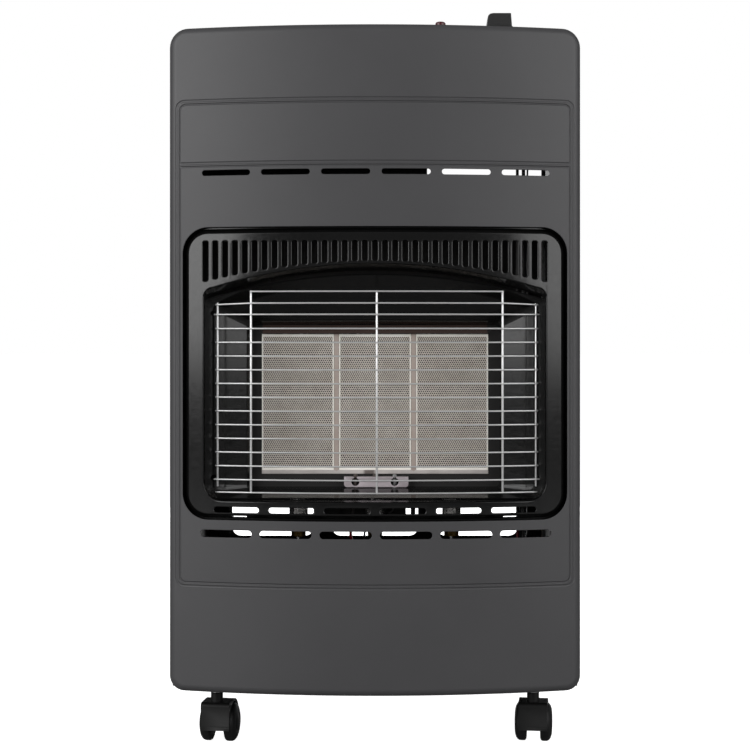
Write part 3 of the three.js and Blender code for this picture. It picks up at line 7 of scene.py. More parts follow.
import bmesh
import bpy
from mathutils import Matrix, Vector

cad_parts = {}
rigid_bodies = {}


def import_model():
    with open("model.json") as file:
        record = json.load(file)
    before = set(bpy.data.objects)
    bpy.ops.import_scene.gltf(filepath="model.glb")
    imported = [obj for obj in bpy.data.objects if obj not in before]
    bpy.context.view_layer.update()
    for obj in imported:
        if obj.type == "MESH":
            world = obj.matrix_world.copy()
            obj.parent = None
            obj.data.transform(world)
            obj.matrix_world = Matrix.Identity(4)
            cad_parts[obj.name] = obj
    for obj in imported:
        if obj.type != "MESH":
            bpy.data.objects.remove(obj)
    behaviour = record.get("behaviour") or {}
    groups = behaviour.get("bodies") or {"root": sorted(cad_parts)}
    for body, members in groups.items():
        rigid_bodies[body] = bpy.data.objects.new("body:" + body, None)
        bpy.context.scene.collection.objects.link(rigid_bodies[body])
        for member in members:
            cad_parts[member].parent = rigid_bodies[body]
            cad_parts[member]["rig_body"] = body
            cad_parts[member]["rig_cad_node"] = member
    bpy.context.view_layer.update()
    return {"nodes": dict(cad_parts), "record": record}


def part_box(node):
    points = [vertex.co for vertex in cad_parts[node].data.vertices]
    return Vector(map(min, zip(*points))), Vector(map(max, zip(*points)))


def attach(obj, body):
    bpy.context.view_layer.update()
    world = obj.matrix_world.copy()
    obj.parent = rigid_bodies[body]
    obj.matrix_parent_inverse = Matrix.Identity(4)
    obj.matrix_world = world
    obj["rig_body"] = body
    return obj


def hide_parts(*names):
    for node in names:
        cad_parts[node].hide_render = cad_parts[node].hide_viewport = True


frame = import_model()

mm = 0.001
TINY = 0.01 * mm  # places as near as this count as one
OVERRUN = 5 * mm  # how far a cutting tool reaches past its sheet
SEAM = 0.005 * mm  # where a spun body closes

# Places read from the frame
PANEL_LOW, PANEL_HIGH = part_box("front_panel")
SURROUND_LOW, SURROUND_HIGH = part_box("burner_surround")
REFLECTOR_LOW, REFLECTOR_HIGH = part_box("reflector")
GUARD_LOW, GUARD_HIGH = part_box("guard_grille")
HALF_WIDTH = PANEL_HIGH.x
APEX = PANEL_LOW.y
FLANGE_BACK = PANEL_HIGH.y

# Pressings and their slots
STRAIGHT = 0.99  # a normal that counts as square to the front
FRONT_SLOPE = -0.9  # the normals of a flat front lie below this
WALL_SLOPE = -0.4  # and those of an opening's wall above this
ROUND_END = 0.49  # corner radius of a slot with round ends, as a share of its opening

# Cabinet front
SHEET = 1.2 * mm
BOW_RISE = 27 * mm
BOW_HALF_WIDTH = 205 * mm
BOW_PITCH = 7 * mm
EDGE = APEX + BOW_RISE
PANEL_TOP_RADIUS = 19 * mm
PANEL_BOTTOM_RADIUS = 15 * mm
PANEL_EDGE_RADIUS = 8 * mm
PANEL_RIM = 0.5 * mm
CORNER_SEGMENTS = 10
WINDOW_SEGMENTS = 12
FIELD_HALF_WIDTH = 202 * mm
FIELD_BOTTOM = 171.3 * mm
FIELD_TOP = 663.5 * mm
FIELD_RADIUS = 8 * mm
BAND_HEIGHT = 600 * mm
FIELD_LINES = [
    {"inset": 0, "radius": 1.9 * mm, "depth": 0.8 * mm},
    {"inset": 3.6 * mm, "radius": 0.9 * mm, "depth": 0.7 * mm},
]
VENT_PITCH = 60.6 * mm
VENT_SHIFT = 0.9 * mm
VENT_COUNT = 6
UPPER_VENTS = {"height": 590 * mm, "length": 49.3 * mm, "opening": 5.6 * mm}
LOWER_VENTS = {"height": 225 * mm, "length": 52.6 * mm, "opening": 7.5 * mm}

# Burner surround
SURROUND_LIP = 9 * mm
SURROUND_RADIUS = 25 * mm
SURROUND_SKIRT = {"inset": 5 * mm, "depth": 9 * mm}
SURROUND_GAP = 1.3 * mm
SURROUND_SHEET = 1 * mm
SKIRT_RIM = 0.9 * mm
MOUTH_RIM = 1.6 * mm
LOUVRE_RIM = 1.1 * mm
LINING_SETBACK = 0.2 * mm
ARCH_CUTS = 25
SURROUND_HALF = SURROUND_HIGH.x - SURROUND_LIP
SURROUND_BOTTOM = SURROUND_LOW.z + SURROUND_LIP
SURROUND_TOP = SURROUND_HIGH.z - SURROUND_LIP
MOUTH_HALF = 173 * mm
MOUTH_BOTTOM = 258.5 * mm
MOUTH_SHOULDER = 473.5 * mm
MOUTH_RISE = 24.2 * mm
MOUTH_DROP = 6 * mm
MOUTH_GAP = 0.3 * mm
MOUTH_LOW_RADIUS = 18 * mm
MOUTH_HIGH_RADIUS = 9 * mm
LOUVRE_COUNT = 35
LOUVRE_PITCH = 10.1 * mm
LOUVRE_WIDTH = 5.4 * mm
LOUVRE_CORNER = 1.9 * mm
LOUVRE_TOP = 521 * mm
LOUVRE_SHORTEST = 20.6 * mm
LOUVRE_LONGEST = 40.8 * mm
LIP_VENT_PITCH = 56 * mm
LIP_VENTS = {"height": 249.4 * mm, "length": 45.8 * mm, "opening": 5.6 * mm}
CLIP_SLOTS = {"height": SURROUND_BOTTOM + 2.3 * mm, "length": 15 * mm, "opening": 1.3 * mm}
CLIP_SLOT_ACROSS = 137 * mm
CLIP_NOTCH_RISE = 5 * mm

# Wire guard
GUARD_SHIFT = (GUARD_LOW.x + GUARD_HIGH.x) / 2
GUARD_WIRE = 0.85 * mm
GUARD_POST = 1.15 * mm
GUARD_FRONT = GUARD_LOW.y + GUARD_WIRE
GUARD_KNEE = 128.2 * mm
GUARD_KNEE_BACK = 9.5 * mm
GUARD_END = 165.2 * mm
GUARD_END_BACK = 17 * mm
GUARD_HOOK = 166.6 * mm
GUARD_HOOK_LENGTH = 7 * mm
GUARD_FIRST = 278.5 * mm
GUARD_PITCH = 14 * mm
GUARD_PITCH_COUNT = 12
GUARD_UPPER = 446.9 * mm
GUARD_SHOULDER = 458.4 * mm
GUARD_TOP = 470.3 * mm
GUARD_BOTTOM = 265.5 * mm
GUARD_DROOP = 1.5 * mm
GUARD_CUTS = 63
GUARD_WELD = 0.4 * mm
INNER_POST = {"bottom": 264.3 * mm, "top": 471.3 * mm}
OUTER_POST = {"bottom": 271 * mm, "top": 459.4 * mm}
OUTER_ACROSS = 162.9 * mm
WIRE_TIP = 0.4 * mm
POST_TIP = 0.5 * mm


# Working by hand: selecting, editing and applying
def deselect():
    bpy.ops.object.select_all(action="DESELECT")


def activate(obj):
    deselect()
    obj.select_set(True)
    bpy.context.view_layer.objects.active = obj


def pick_all():
    bpy.ops.mesh.select_all(action="SELECT")


def pick_none(mode):
    bpy.ops.mesh.select_mode(type=mode)
    bpy.ops.mesh.select_all(action="DESELECT")


def face_outwards():
    pick_all()
    bpy.ops.mesh.normals_make_consistent(inside=False)


def settle():
    bpy.ops.object.transform_apply(location=True, rotation=True, scale=True)


@contextmanager
def editing(obj):
    activate(obj)
    bpy.ops.object.mode_set(mode="EDIT")
    pick_none("VERT")
    yield obj
    bpy.ops.object.mode_set(mode="OBJECT")


def pick(obj, kind, test):
    """Picks the vertices, edges or faces of a mesh in edit mode that pass a test."""
    pick_none({"verts": "VERT", "edges": "EDGE", "faces": "FACE"}[kind])
    mesh = bmesh.from_edit_mesh(obj.data)
    mesh.normal_update()
    for part in getattr(mesh, kind):
        if test(part):
            part.select_set(True)
    mesh.select_flush_mode()
    bmesh.update_edit_mesh(obj.data)


def pick_edges(obj, test):
    """Picks by an edge's two ends."""
    pick(obj, "edges", lambda edge: test(*(vertex.co for vertex in edge.verts)))


def pick_faces(obj, test):
    """Picks by a face's middle and normal."""
    pick(obj, "faces", lambda face: test(face.calc_center_median(), face.normal))


def add_block(name, low, high):
    low, high = Vector(low), Vector(high)
    deselect()
    bpy.ops.mesh.primitive_cube_add(size=1, location=(low + high) / 2)
    block = bpy.context.object
    block.name = name
    block.scale = high - low
    settle()
    return block


def add_rod(name, radius, start, end, sides=24):
    start, end = Vector(start), Vector(end)
    run = end - start
    deselect()
    bpy.ops.mesh.primitive_cylinder_add(
        vertices=sides,
        radius=radius,
        depth=run.length,
        location=(start + end) / 2,
        rotation=run.to_track_quat("Z", "Y").to_euler(),
    )
    rod = bpy.context.object
    rod.name = name
    settle()
    return rod


def spun(name, profile, steps):
    """A round body about the Z axis, spun from a profile of (radius, height) points."""
    mesh = bpy.data.meshes.new(name)
    points = [(radius, 0, height) for radius, height in profile]
    mesh.from_pydata(points, [(i, i + 1) for i in range(len(points) - 1)], [])
    body = bpy.data.objects.new(name, mesh)
    bpy.context.scene.collection.objects.link(body)
    with editing(body):
        pick_all()
        bpy.ops.mesh.spin(steps=steps, angle=2 * math.pi, center=(0, 0, 0), axis=(0, 0, 1))
        pick_all()
        bpy.ops.mesh.remove_doubles(threshold=SEAM)
        face_outwards()
    return body


def twin(obj, name, matrix):
    """A copy with its own mesh, placed by a matrix in its mesh."""
    other = obj.copy()
    other.data = obj.data.copy()
    other.name = name
    bpy.context.scene.collection.objects.link(other)
    other.data.transform(matrix)
    if matrix.determinant() < 0:
        other.data.flip_normals()
    return other


def joined(name, pieces):
    deselect()
    for piece in pieces:
        piece.select_set(True)
    bpy.context.view_layer.objects.active = pieces[0]
    bpy.ops.object.join()
    pieces[0].name = name
    return pieces[0]


def apply_new(obj, kind, **settings):
    """Adds a modifier, gives it its settings and applies it."""
    modifier = obj.modifiers.new(kind, kind)
    for name, setting in settings.items():
        setattr(modifier, name, setting)
    activate(obj)
    bpy.ops.object.modifier_apply(modifier=modifier.name)
    return obj


def carve(obj, tool, operation="DIFFERENCE"):
    apply_new(obj, "BOOLEAN", object=tool, operation=operation, solver="EXACT")
    bpy.data.objects.remove(tool)
    return obj


def bevel_edges(obj, test, width, segments):
    with editing(obj):
        pick_edges(obj, test)
        bpy.ops.mesh.bevel(offset=width, segments=segments, affect="EDGES")
    return obj


def give_wall(obj, thickness):
    return apply_new(obj, "SOLIDIFY", thickness=thickness, offset=-1, use_even_offset=True)


def soften(obj, width, segments=2, angle=35):
    return apply_new(
        obj,
        "BEVEL",
        width=width,
        segments=segments,
        limit_method="ANGLE",
        angle_limit=math.radians(angle),
        use_clamp_overlap=True,
    )


def smooth(obj, angle=40):
    activate(obj)
    bpy.ops.object.shade_smooth_by_angle(angle=math.radians(angle))
    return obj


def even_shading(obj):
    """Lets the large faces lead the shading, so that a pressed sheet looks flat beside its rounded rims."""
    return apply_new(obj, "WEIGHTED_NORMAL", keep_sharp=True, weight=100)


def displace(obj, axis, share_of, total):
    """Moves each point along an axis by its share of the total."""
    group = obj.vertex_groups.new(name="shares")
    for vertex in obj.data.vertices:
        group.add([vertex.index], share_of(vertex.co), "REPLACE")
    apply_new(obj, "DISPLACE", direction=axis, mid_level=0, strength=total, vertex_group=group.name)
    obj.vertex_groups.clear()
    return obj


def along_y(a, b):
    return abs(a.x - b.x) < TINY and abs(a.z - b.z) < TINY


def across_y(a, b):
    return abs(a.y - b.y) < TINY


def spaced(count, pitch, middle=0):
    """Places at an even pitch about a middle."""
    return [middle + pitch * (i - (count - 1) / 2) for i in range(count)]


# Sheets that follow the bow of the front
def bow_depth(x):
    radius = (BOW_HALF_WIDTH**2 + BOW_RISE**2) / (2 * BOW_RISE)
    return radius - math.sqrt(radius**2 - x**2)


BOW_TOTAL = bow_depth(HALF_WIDTH)


def bow(obj, fixed_behind):
    """Cuts a flat pressing into strips, and sets all but its back along the bow."""
    count = int(HALF_WIDTH / BOW_PITCH)
    with editing(obj):
        for i in range(-count, count + 1):
            pick_all()
            bpy.ops.mesh.bisect(plane_co=(i * BOW_PITCH, 0, 0), plane_no=(1, 0, 0))
    return displace(
        obj,
        "Y",
        lambda co: bow_depth(co.x) / BOW_TOTAL if co.y < fixed_behind else 0,
        BOW_TOTAL,
    )


def pan(name, half, bottom, top, back, low_radius, high_radius, wall, round_edge=0, skirt=None):
    """A flat pressed pan, open at the back, with round corners and a rounded or sloping front edge."""
    front = APEX + (skirt["depth"] if skirt else 0)
    body = add_block(name, (-half, front, bottom), (half, back, top))
    middle = (bottom + top) / 2
    bevel_edges(body, lambda a, b: along_y(a, b) and a.z > middle, high_radius, CORNER_SEGMENTS)
    bevel_edges(body, lambda a, b: along_y(a, b) and a.z < middle, low_radius, CORNER_SEGMENTS)
    if skirt:
        with editing(body):
            pick_faces(body, lambda centre, normal: normal.y < -STRAIGHT)
            bpy.ops.mesh.inset(thickness=skirt["inset"])
            bpy.ops.transform.translate(value=(0, -skirt["depth"], 0))
    radius, segments = (SKIRT_RIM, 3) if skirt else (round_edge, 7)
    bevel_edges(body, lambda a, b: max(a.y, b.y) < APEX + TINY, radius, segments)
    with editing(body):
        pick_faces(body, lambda centre, normal: normal.y > STRAIGHT)
        bpy.ops.mesh.delete(type="FACE")
    return give_wall(body, wall)


def slot_tool(length, height, opening, corner=None):
    """A tool for one slot, with round ends if it isn't told its corners."""
    tool = add_block(
        "slot",
        (-length / 2, APEX - OVERRUN, height - opening / 2),
        (length / 2, FLANGE_BACK + OVERRUN, height + opening / 2),
    )
    return bevel_edges(tool, along_y, corner or min(length, opening) * ROUND_END, 6)


def row_of_slots(places, length, height, opening):
    first = slot_tool(length, height, opening)
    copies = [twin(first, "slot", Matrix.Translation((x, 0, 0))) for x in places]
    bpy.data.objects.remove(first)
    return joined("slots", copies)


def arched_plate(name, half, bottom, shoulder, rise, low_radius, high_radius, y):
    """A flat plate with round corners and an arched top edge."""
    deselect()
    bpy.ops.mesh.primitive_plane_add(size=1, rotation=(math.pi / 2, 0, 0))
    plate = bpy.context.object
    plate.name = name
    plate.scale = (2 * half, shoulder - bottom, 1)
    plate.location = (0, y, (bottom + shoulder) / 2)
    settle()
    with editing(plate):
        for height, radius in ((shoulder, high_radius), (bottom, low_radius)):
            pick(
                plate,
                "verts",
                lambda vertex: abs(abs(vertex.co.x) - half) + abs(vertex.co.z - height) < TINY,
            )
            bpy.ops.mesh.bevel(offset=radius, segments=6, affect="VERTICES")
        pick_edges(plate, lambda a, b: min(a.z, b.z) > shoulder - TINY and abs(a.x - b.x) > half)
        bpy.ops.mesh.subdivide(number_cuts=ARCH_CUTS)
    inner = half - high_radius
    return displace(
        plate,
        "Z",
        lambda co: max(0, 1 - (co.x / inner) ** 2) if co.z > shoulder - TINY else 0,
        rise,
    )


def prism_from(plate, depth):
    """Gives a flat plate a depth, towards the back."""
    with editing(plate):
        pick_all()
        bpy.ops.mesh.extrude_region_move(TRANSFORM_OT_translate={"value": (0, depth, 0)})
        face_outwards()
    return plate


def round_the_rims(obj, inside, radius):
    """Softens the front rims of the openings in a flat front."""

    def is_rim(edge):
        a, b = (vertex.co for vertex in edge.verts)
        slopes = sorted(face.normal.y for face in edge.link_faces)
        in_front = max(a.y, b.y) < APEX + TINY and max(abs(a.x), abs(b.x)) < inside
        return in_front and len(slopes) == 2 and slopes[0] < FRONT_SLOPE and slopes[1] > WALL_SLOPE

    with editing(obj):
        pick(obj, "edges", is_rim)
        bpy.ops.mesh.bevel(offset=radius, segments=3, affect="EDGES")
    return obj


def tube_along(path, radius, resolution):
    """Turns a line of edges into a round tube."""
    activate(path)
    bpy.ops.object.convert(target="CURVE")
    path.data.bevel_depth = radius
    path.data.bevel_resolution = resolution
    path.data.use_fill_caps = True
    bpy.ops.object.convert(target="MESH")
    return bpy.context.object


# Node trees, whose inputs are linked to sockets or given plain values
def feed(tree, node, values):
    for key, value in dict(values).items():
        if isinstance(value, bpy.types.NodeSocket):
            tree.links.new(value, node.inputs[key])
        else:
            node.inputs[key].default_value = value
    return node


def add_node(tree, kind, values=(), **settings):
    node = tree.nodes.new("ShaderNode" + kind)
    for name, setting in settings.items():
        setattr(node, name, setting)
    return feed(tree, node, values)


def math_node(tree, operation, *values, clamp=False):
    return add_node(tree, "Math", enumerate(values), operation=operation, use_clamp=clamp).outputs["Value"]


def colour_mix(tree, share, first, second):
    return add_node(tree, "Mix", {0: share, 6: first, 7: second}, data_type="RGBA").outputs[2]


def noise_node(tree, vector, scale, detail, roughness=0.5):
    values = {"Vector": vector, "Scale": scale, "Detail": detail, "Roughness": roughness}
    return add_node(tree, "TexNoise", values).outputs["Fac"]


def ranged(tree, value, low=0.0, high=1.0, span=(0.3, 0.7)):
    """Spreads a span of a value, if not told the middle of a noise, from low to high."""
    values = {"Value": value, "From Min": span[0], "From Max": span[1], "To Min": low, "To Max": high}
    return add_node(tree, "MapRange", values).outputs["Result"]


def above(tree, value, edge, softness):
    """A mask that rises from 0 to 1 about an edge."""
    return ranged(tree, value, span=(edge - softness / 2, edge + softness / 2))


def bump(tree, shader, height, strength, distance):
    node = add_node(tree, "Bump", {"Strength": strength, "Distance": distance, "Height": height})
    feed(tree, shader, {"Normal": node.outputs["Normal"]})


def grey(level, warm=0.0):
    return (level * (1 + warm), level, level * (1 - warm), 1)


# Camera, floor and light
CAMERA = {"distance": 1600 * mm, "height": 427 * mm, "sensor": 36, "lens": 75.43, "shift": -0.0547}
FLOOR = {"size": 60, "cloud": 0.8, "seen": (0.88, 0.92), "lit": 0.25, "glow": 0.93, "roughness": 0.6}
WORLD_LIGHT = 0.13
SOFTBOXES = {
    "left_softbox": {"at": (-2.1, -1.9, 1.3), "aim": (0, -0.15, 0.5), "size": (2.5, 2.0), "power": 78},
    "right_softbox": {"at": (2.1, -1.8, 1.25), "aim": (0, -0.15, 0.45), "size": (2.4, 1.9), "power": 50},
    "top_softbox": {"at": (0, -0.2, 2.8), "aim": (0, 0, 0.4), "size": (2.4, 1.8), "power": 2},
    "back_softbox": {"at": (0, 2.0, 0.7), "aim": (0, 0.1, 0.4), "size": (2.6, 1.6), "power": 26},
}


def set_camera():
    deselect()
    place = (0, EDGE - CAMERA["distance"], CAMERA["height"])
    bpy.ops.object.camera_add(location=place, rotation=(math.pi / 2, 0, 0))
    camera = bpy.context.object
    camera.data.sensor_width = CAMERA["sensor"]
    camera.data.lens = CAMERA["lens"]
    camera.data.shift_y = CAMERA["shift"]
    bpy.context.scene.camera = camera


def set_floor():
    deselect()
    bpy.ops.mesh.primitive_plane_add(size=FLOOR["size"])
    floor = bpy.context.object
    floor.name = "studio_floor"
    return floor


def add_softbox(name, at, aim, size, power):
    deselect()
    turn = (Vector(aim) - Vector(at)).to_track_quat("-Z", "Y").to_euler()
    bpy.ops.object.light_add(type="AREA", location=at, rotation=turn)
    light = bpy.context.object
    light.name = name
    light.data.shape = "RECTANGLE"
    light.data.size, light.data.size_y = size
    light.data.energy = power
    light.visible_camera = False


def set_world():
    """White where the camera sees it, and a dim even light on the heater."""
    world = bpy.data.worlds.new("studio")
    bpy.context.scene.world = world
    world.use_nodes = True
    tree = world.node_tree
    tree.nodes.clear()
    lit, seen = (
        add_node(tree, "Background", {"Color": grey(1), "Strength": strength}).outputs["Background"]
        for strength in (WORLD_LIGHT, 1)
    )
    by_camera = add_node(tree, "LightPath").outputs["Is Camera Ray"]
    mix = add_node(tree, "MixShader", {0: by_camera, 1: lit, 2: seen})
    add_node(tree, "OutputWorld", {"Surface": mix.outputs["Shader"]})


set_camera()
floor = set_floor()
set_world()
for name, light in SOFTBOXES.items():
    add_softbox(name, **light)
bpy.context.scene.view_settings.view_transform = "Standard"

# Surface effects that the materials share
GRAIN_DEPTH = 0.1 * mm
LINE_DEPTH = 0.05 * mm
LINE_SCALE = 1800.0
LINE_CLOUD_SCALE = 25.0


def new_group(name, values, outputs):
    """A node group that takes a vector and values with their defaults, and puts out masks."""
    group = bpy.data.node_groups.new(name, "ShaderNodeTree")
    group.interface.new_socket(name="Vector", in_out="INPUT", socket_type="NodeSocketVector")
    for label, value in values.items():
        kind = "NodeSocketFloat" if isinstance(value, float) else "NodeSocketVector"
        group.interface.new_socket(name=label, in_out="INPUT", socket_type=kind).default_value = value
    for label in outputs:
        group.interface.new_socket(name=label, in_out="OUTPUT", socket_type="NodeSocketFloat")
    start = group.nodes.new("NodeGroupInput")
    end = group.nodes.new("NodeGroupOutput")
    return group, start.outputs, end.inputs


def put_out(group, end, **masks):
    for label, mask in masks.items():
        group.links.new(mask, end[label])
    return group


def fine_grain_group():
    """A fine even grain and a slow cloudy variation."""
    scales = {"Grain Scale": 1400.0, "Cloud Scale": 9.0}
    group, start, end = new_group("fine grain", scales, ["Grain", "Cloud"])
    grain = noise_node(group, start["Vector"], start["Grain Scale"], 2.0)
    cloud = noise_node(group, start["Vector"], start["Cloud Scale"], 4.0, 0.6)
    return put_out(group, end, Grain=grain, Cloud=cloud)


def drawn_lines_group():
    """Fine drawn or brushed lines along one axis, with a slow variation."""
    group, start, end = new_group("drawn lines", {"Stretch": (1.0, 1.0, 0.02)}, ["Lines", "Cloud"])
    factors = {0: start["Vector"], 1: start["Stretch"]}
    stretched = add_node(group, "VectorMath", factors, operation="MULTIPLY")
    lines = noise_node(group, stretched.outputs["Vector"], LINE_SCALE, 2.0)
    cloud = noise_node(group, start["Vector"], LINE_CLOUD_SCALE, 3.0)
    return put_out(group, end, Lines=lines, Cloud=cloud)


FINE_GRAIN = fine_grain_group()
DRAWN_LINES = drawn_lines_group()


def new_material(name, metallic=0.0, specular=0.5):
    material = bpy.data.materials.new(name)
    material.use_nodes = True
    tree = material.node_tree
    tree.nodes.clear()
    shader = add_node(tree, "BsdfPrincipled", {"Metallic": metallic, "Specular IOR Level": specular})
    add_node(tree, "OutputMaterial", {"Surface": shader.outputs["BSDF"]})
    return material, tree, shader, add_node(tree, "TexCoord").outputs["Object"]


def grained(name, dark, light, gloss, scale, strength, metallic=0.0, specular=0.5, cloud=9.0, stain_and_shade=None):
    """A painted, moulded or cast surface: two near shades, a little uneven gloss and a fine bump.

    A stain, real or painted shade, takes the tree, the share of the light shade, the colour and the place,
    and gives a colour."""
    material, tree, shader, place = new_material(name, metallic, specular)
    values = {"Vector": place, "Grain Scale": scale, "Cloud Scale": cloud}
    grain = add_node(tree, "Group", values, node_tree=FINE_GRAIN).outputs
    share = ranged(tree, grain["Cloud"])
    colour = colour_mix(tree, share, dark, light)
    if stain_and_shade:
        colour = stain_and_shade(tree, share, colour, add_node(tree, "SeparateXYZ", {0: place}).outputs)
    feed(tree, shader, {"Base Color": colour, "Roughness": ranged(tree, grain["Grain"], *gloss)})
    bump(tree, shader, grain["Grain"], strength, GRAIN_DEPTH)
    return material


def drawn(name, dark, light, gloss, stretch, strength=0.08, metallic=1.0):
    """A drawn, rolled or turned metal: fine lines one way, in colour, gloss and bump."""
    material, tree, shader, place = new_material(name, metallic)
    lines = add_node(tree, "Group", {"Vector": place, "Stretch": stretch}, node_tree=DRAWN_LINES).outputs
    half_lines = math_node(tree, "MULTIPLY", lines["Lines"], 0.5)
    both = math_node(tree, "MULTIPLY_ADD", lines["Cloud"], 0.5, half_lines)
    colour = colour_mix(tree, ranged(tree, both), dark, light)
    feed(tree, shader, {"Base Color": colour, "Roughness": ranged(tree, lines["Lines"], *gloss)})
    bump(tree, shader, lines["Lines"], strength, LINE_DEPTH)
    return material


# Stains, and painted shade, that follow the place on the piece
PLAQUES_LOW, PLAQUES_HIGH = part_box("ceramic_plaque_left")[0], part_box("ceramic_plaque_right")[1]
STAIN_AND_SHADE_EDGE = 1 * mm
CLAY = {"depth": 0.3 * mm, "edge": 0.3 * mm}
HOLE_SHADE = {"depth": 0.68 * mm, "edge": 0.1 * mm}
SCORCH = {"shift": 6 * mm, "half": 6 * mm, "side": 4 * mm, "rise": 4.2 * mm, "top": 2.5 * mm}
SCORCH_STRENGTH = 0.75


def cream_margin_and_hole_shade(tree, share, clay, place):
    """Cream on the plaque's raised margin, and painted shade in near black inside its holes."""
    margin = colour_mix(tree, share, (0.84, 0.81, 0.74, 1), (0.93, 0.91, 0.86, 1))
    pressed = above(tree, place["Y"], PLAQUES_LOW.y + CLAY["depth"], CLAY["edge"])
    inside = above(tree, place["Y"], PLAQUES_LOW.y + HOLE_SHADE["depth"], HOLE_SHADE["edge"])
    return colour_mix(tree, inside, colour_mix(tree, pressed, margin, clay), (0.01, 0.008, 0.007, 1))


def pilot_scorch(tree, share, steel, place):
    """A brown patch just left of the middle, above the pilot."""
    x = math_node(tree, "ABSOLUTE", math_node(tree, "ADD", place["X"], SCORCH["shift"]))
    beside = above(tree, x, SCORCH["half"], SCORCH["side"])
    over = above(tree, place["Z"], PLAQUES_LOW.z + SCORCH["rise"], SCORCH["top"])
    clear = math_node(tree, "MAXIMUM", beside, over)
    mask = math_node(tree, "SUBTRACT", SCORCH_STRENGTH, clear, clamp=True)
    return colour_mix(tree, mask, steel, (0.03, 0.012, 0.005, 1))


def heat_stain(tree, share, strip, place):
    """Dark brown above the plaques, and near black at their sides and under them."""
    outside = above(tree, math_node(tree, "ABSOLUTE", place["X"]), PLAQUES_HIGH.x - STAIN_AND_SHADE_EDGE, STAIN_AND_SHADE_EDGE)
    over = above(tree, place["Z"], PLAQUES_HIGH.z, STAIN_AND_SHADE_EDGE)
    under = above(tree, math_node(tree, "MULTIPLY", place["Z"], -1), -PLAQUES_LOW.z, STAIN_AND_SHADE_EDGE)
    browned = colour_mix(tree, over, strip, (0.05, 0.028, 0.022, 1))
    return colour_mix(tree, math_node(tree, "MAXIMUM", outside, under), browned, (0.012, 0.011, 0.011, 1))


def lead_painted_shade(tree, share, silicone, place):
    """Painted shade on the red lead: near black from the burner upwards."""
    painted_shade_mask = above(tree, place["Z"], SURROUND_LOW.z, STAIN_AND_SHADE_EDGE)
    return colour_mix(tree, painted_shade_mask, silicone, (0.02, 0.018, 0.017, 1))


def floor_material():
    """A pale studio floor that is lit evenly enough to melt into the white behind the heater."""
    material, tree, shader, place = new_material("pale floor")
    by_camera = add_node(tree, "LightPath").outputs["Is Camera Ray"]
    pale = colour_mix(tree, noise_node(tree, place, FLOOR["cloud"], 2.0), *map(grey, FLOOR["seen"]))
    colour = colour_mix(tree, by_camera, grey(FLOOR["lit"]), pale)
    glow = math_node(tree, "MULTIPLY", by_camera, FLOOR["glow"])
    feed(tree, shader, {"Base Color": colour, "Roughness": FLOOR["roughness"]})
    feed(tree, shader, {"Emission Color": grey(1), "Emission Strength": glow})
    return material


# Materials: name, dark and light shade, gloss, grain scale and bump strength
cabinet_paint = grained(
    "cabinet paint",
    (0.046, 0.0455, 0.0478, 1),
    (0.051, 0.0505, 0.053, 1),
    (0.46, 0.54),
    1500.0,
    0.1,
    specular=0.45,
)
black_enamel = grained("black enamel", grey(0.004), grey(0.006), (0.14, 0.19), 300.0, 0.012, specular=0.42)
reflector_enamel = grained(
    "reflector enamel", grey(0.004), grey(0.006), (0.12, 0.18), 300.0, 0.01, specular=0.3
)
zinc_sheet = grained("zinc coated sheet", grey(0.34), grey(0.46), (0.35, 0.5), 260.0, 0.05, 1.0)
sooty_sheet = grained("sooty sheet", grey(0.008, 0.05), grey(0.02, 0.05), (0.5, 0.65), 260.0, 0.05, 0.4)
burner_steel = grained("burner steel", grey(0.5, 0.03), grey(0.66, 0.03), (0.2, 0.3), 300.0, 0.05, 0.85)
bracket_steel = grained(
    "heat tinted bracket", (0.4, 0.355, 0.375, 1), (0.5, 0.45, 0.47, 1), (0.35, 0.5), 400.0, 0.05, 0.3
)
scorched_steel = grained(
    "scorched steel", (0.05, 0.04, 0.036, 1), (0.09, 0.075, 0.07, 1), (0.4, 0.55), 700.0, 0.06, 0.7
)
black_plastic = grained("black moulded plastic", grey(0.012), grey(0.015), (0.36, 0.46), 1600.0, 0.08)
red_plastic = grained(
    "dark red plastic", (0.05, 0.005, 0.008, 1), (0.07, 0.007, 0.011, 1), (0.3, 0.36), 1200.0, 0.05
)
caster_nylon = grained("black nylon", grey(0.005), grey(0.007), (0.46, 0.56), 900.0, 0.08, specular=0.26)
bright_wire = drawn(
    "bright plated wire", grey(0.6), grey(0.72), (0.28, 0.34), (0.03, 1.0, 1.0), strength=0.01, metallic=0.6
)
turned_brass = drawn(
    "turned brass", (0.5, 0.32, 0.1, 1), (0.62, 0.42, 0.15, 1), (0.25, 0.38), (1.0, 1.0, 1.0)
)
drawn_tube = drawn("drawn tube", grey(0.5), grey(0.62), (0.25, 0.35), (1.0, 1.0, 0.03))
dull_tube = drawn("dull drawn tube", grey(0.16), grey(0.24), (0.35, 0.45), (1.0, 1.0, 0.03))
# The red ignition lead, with painted shade in near black from the burner upwards
shaded_lead = grained(
    "ignition lead with painted shade",
    (0.3, 0.01, 0.018, 1),
    (0.4, 0.02, 0.03, 1),
    (0.35, 0.55),
    900.0,
    0.15,
    stain_and_shade=lead_painted_shade,
)
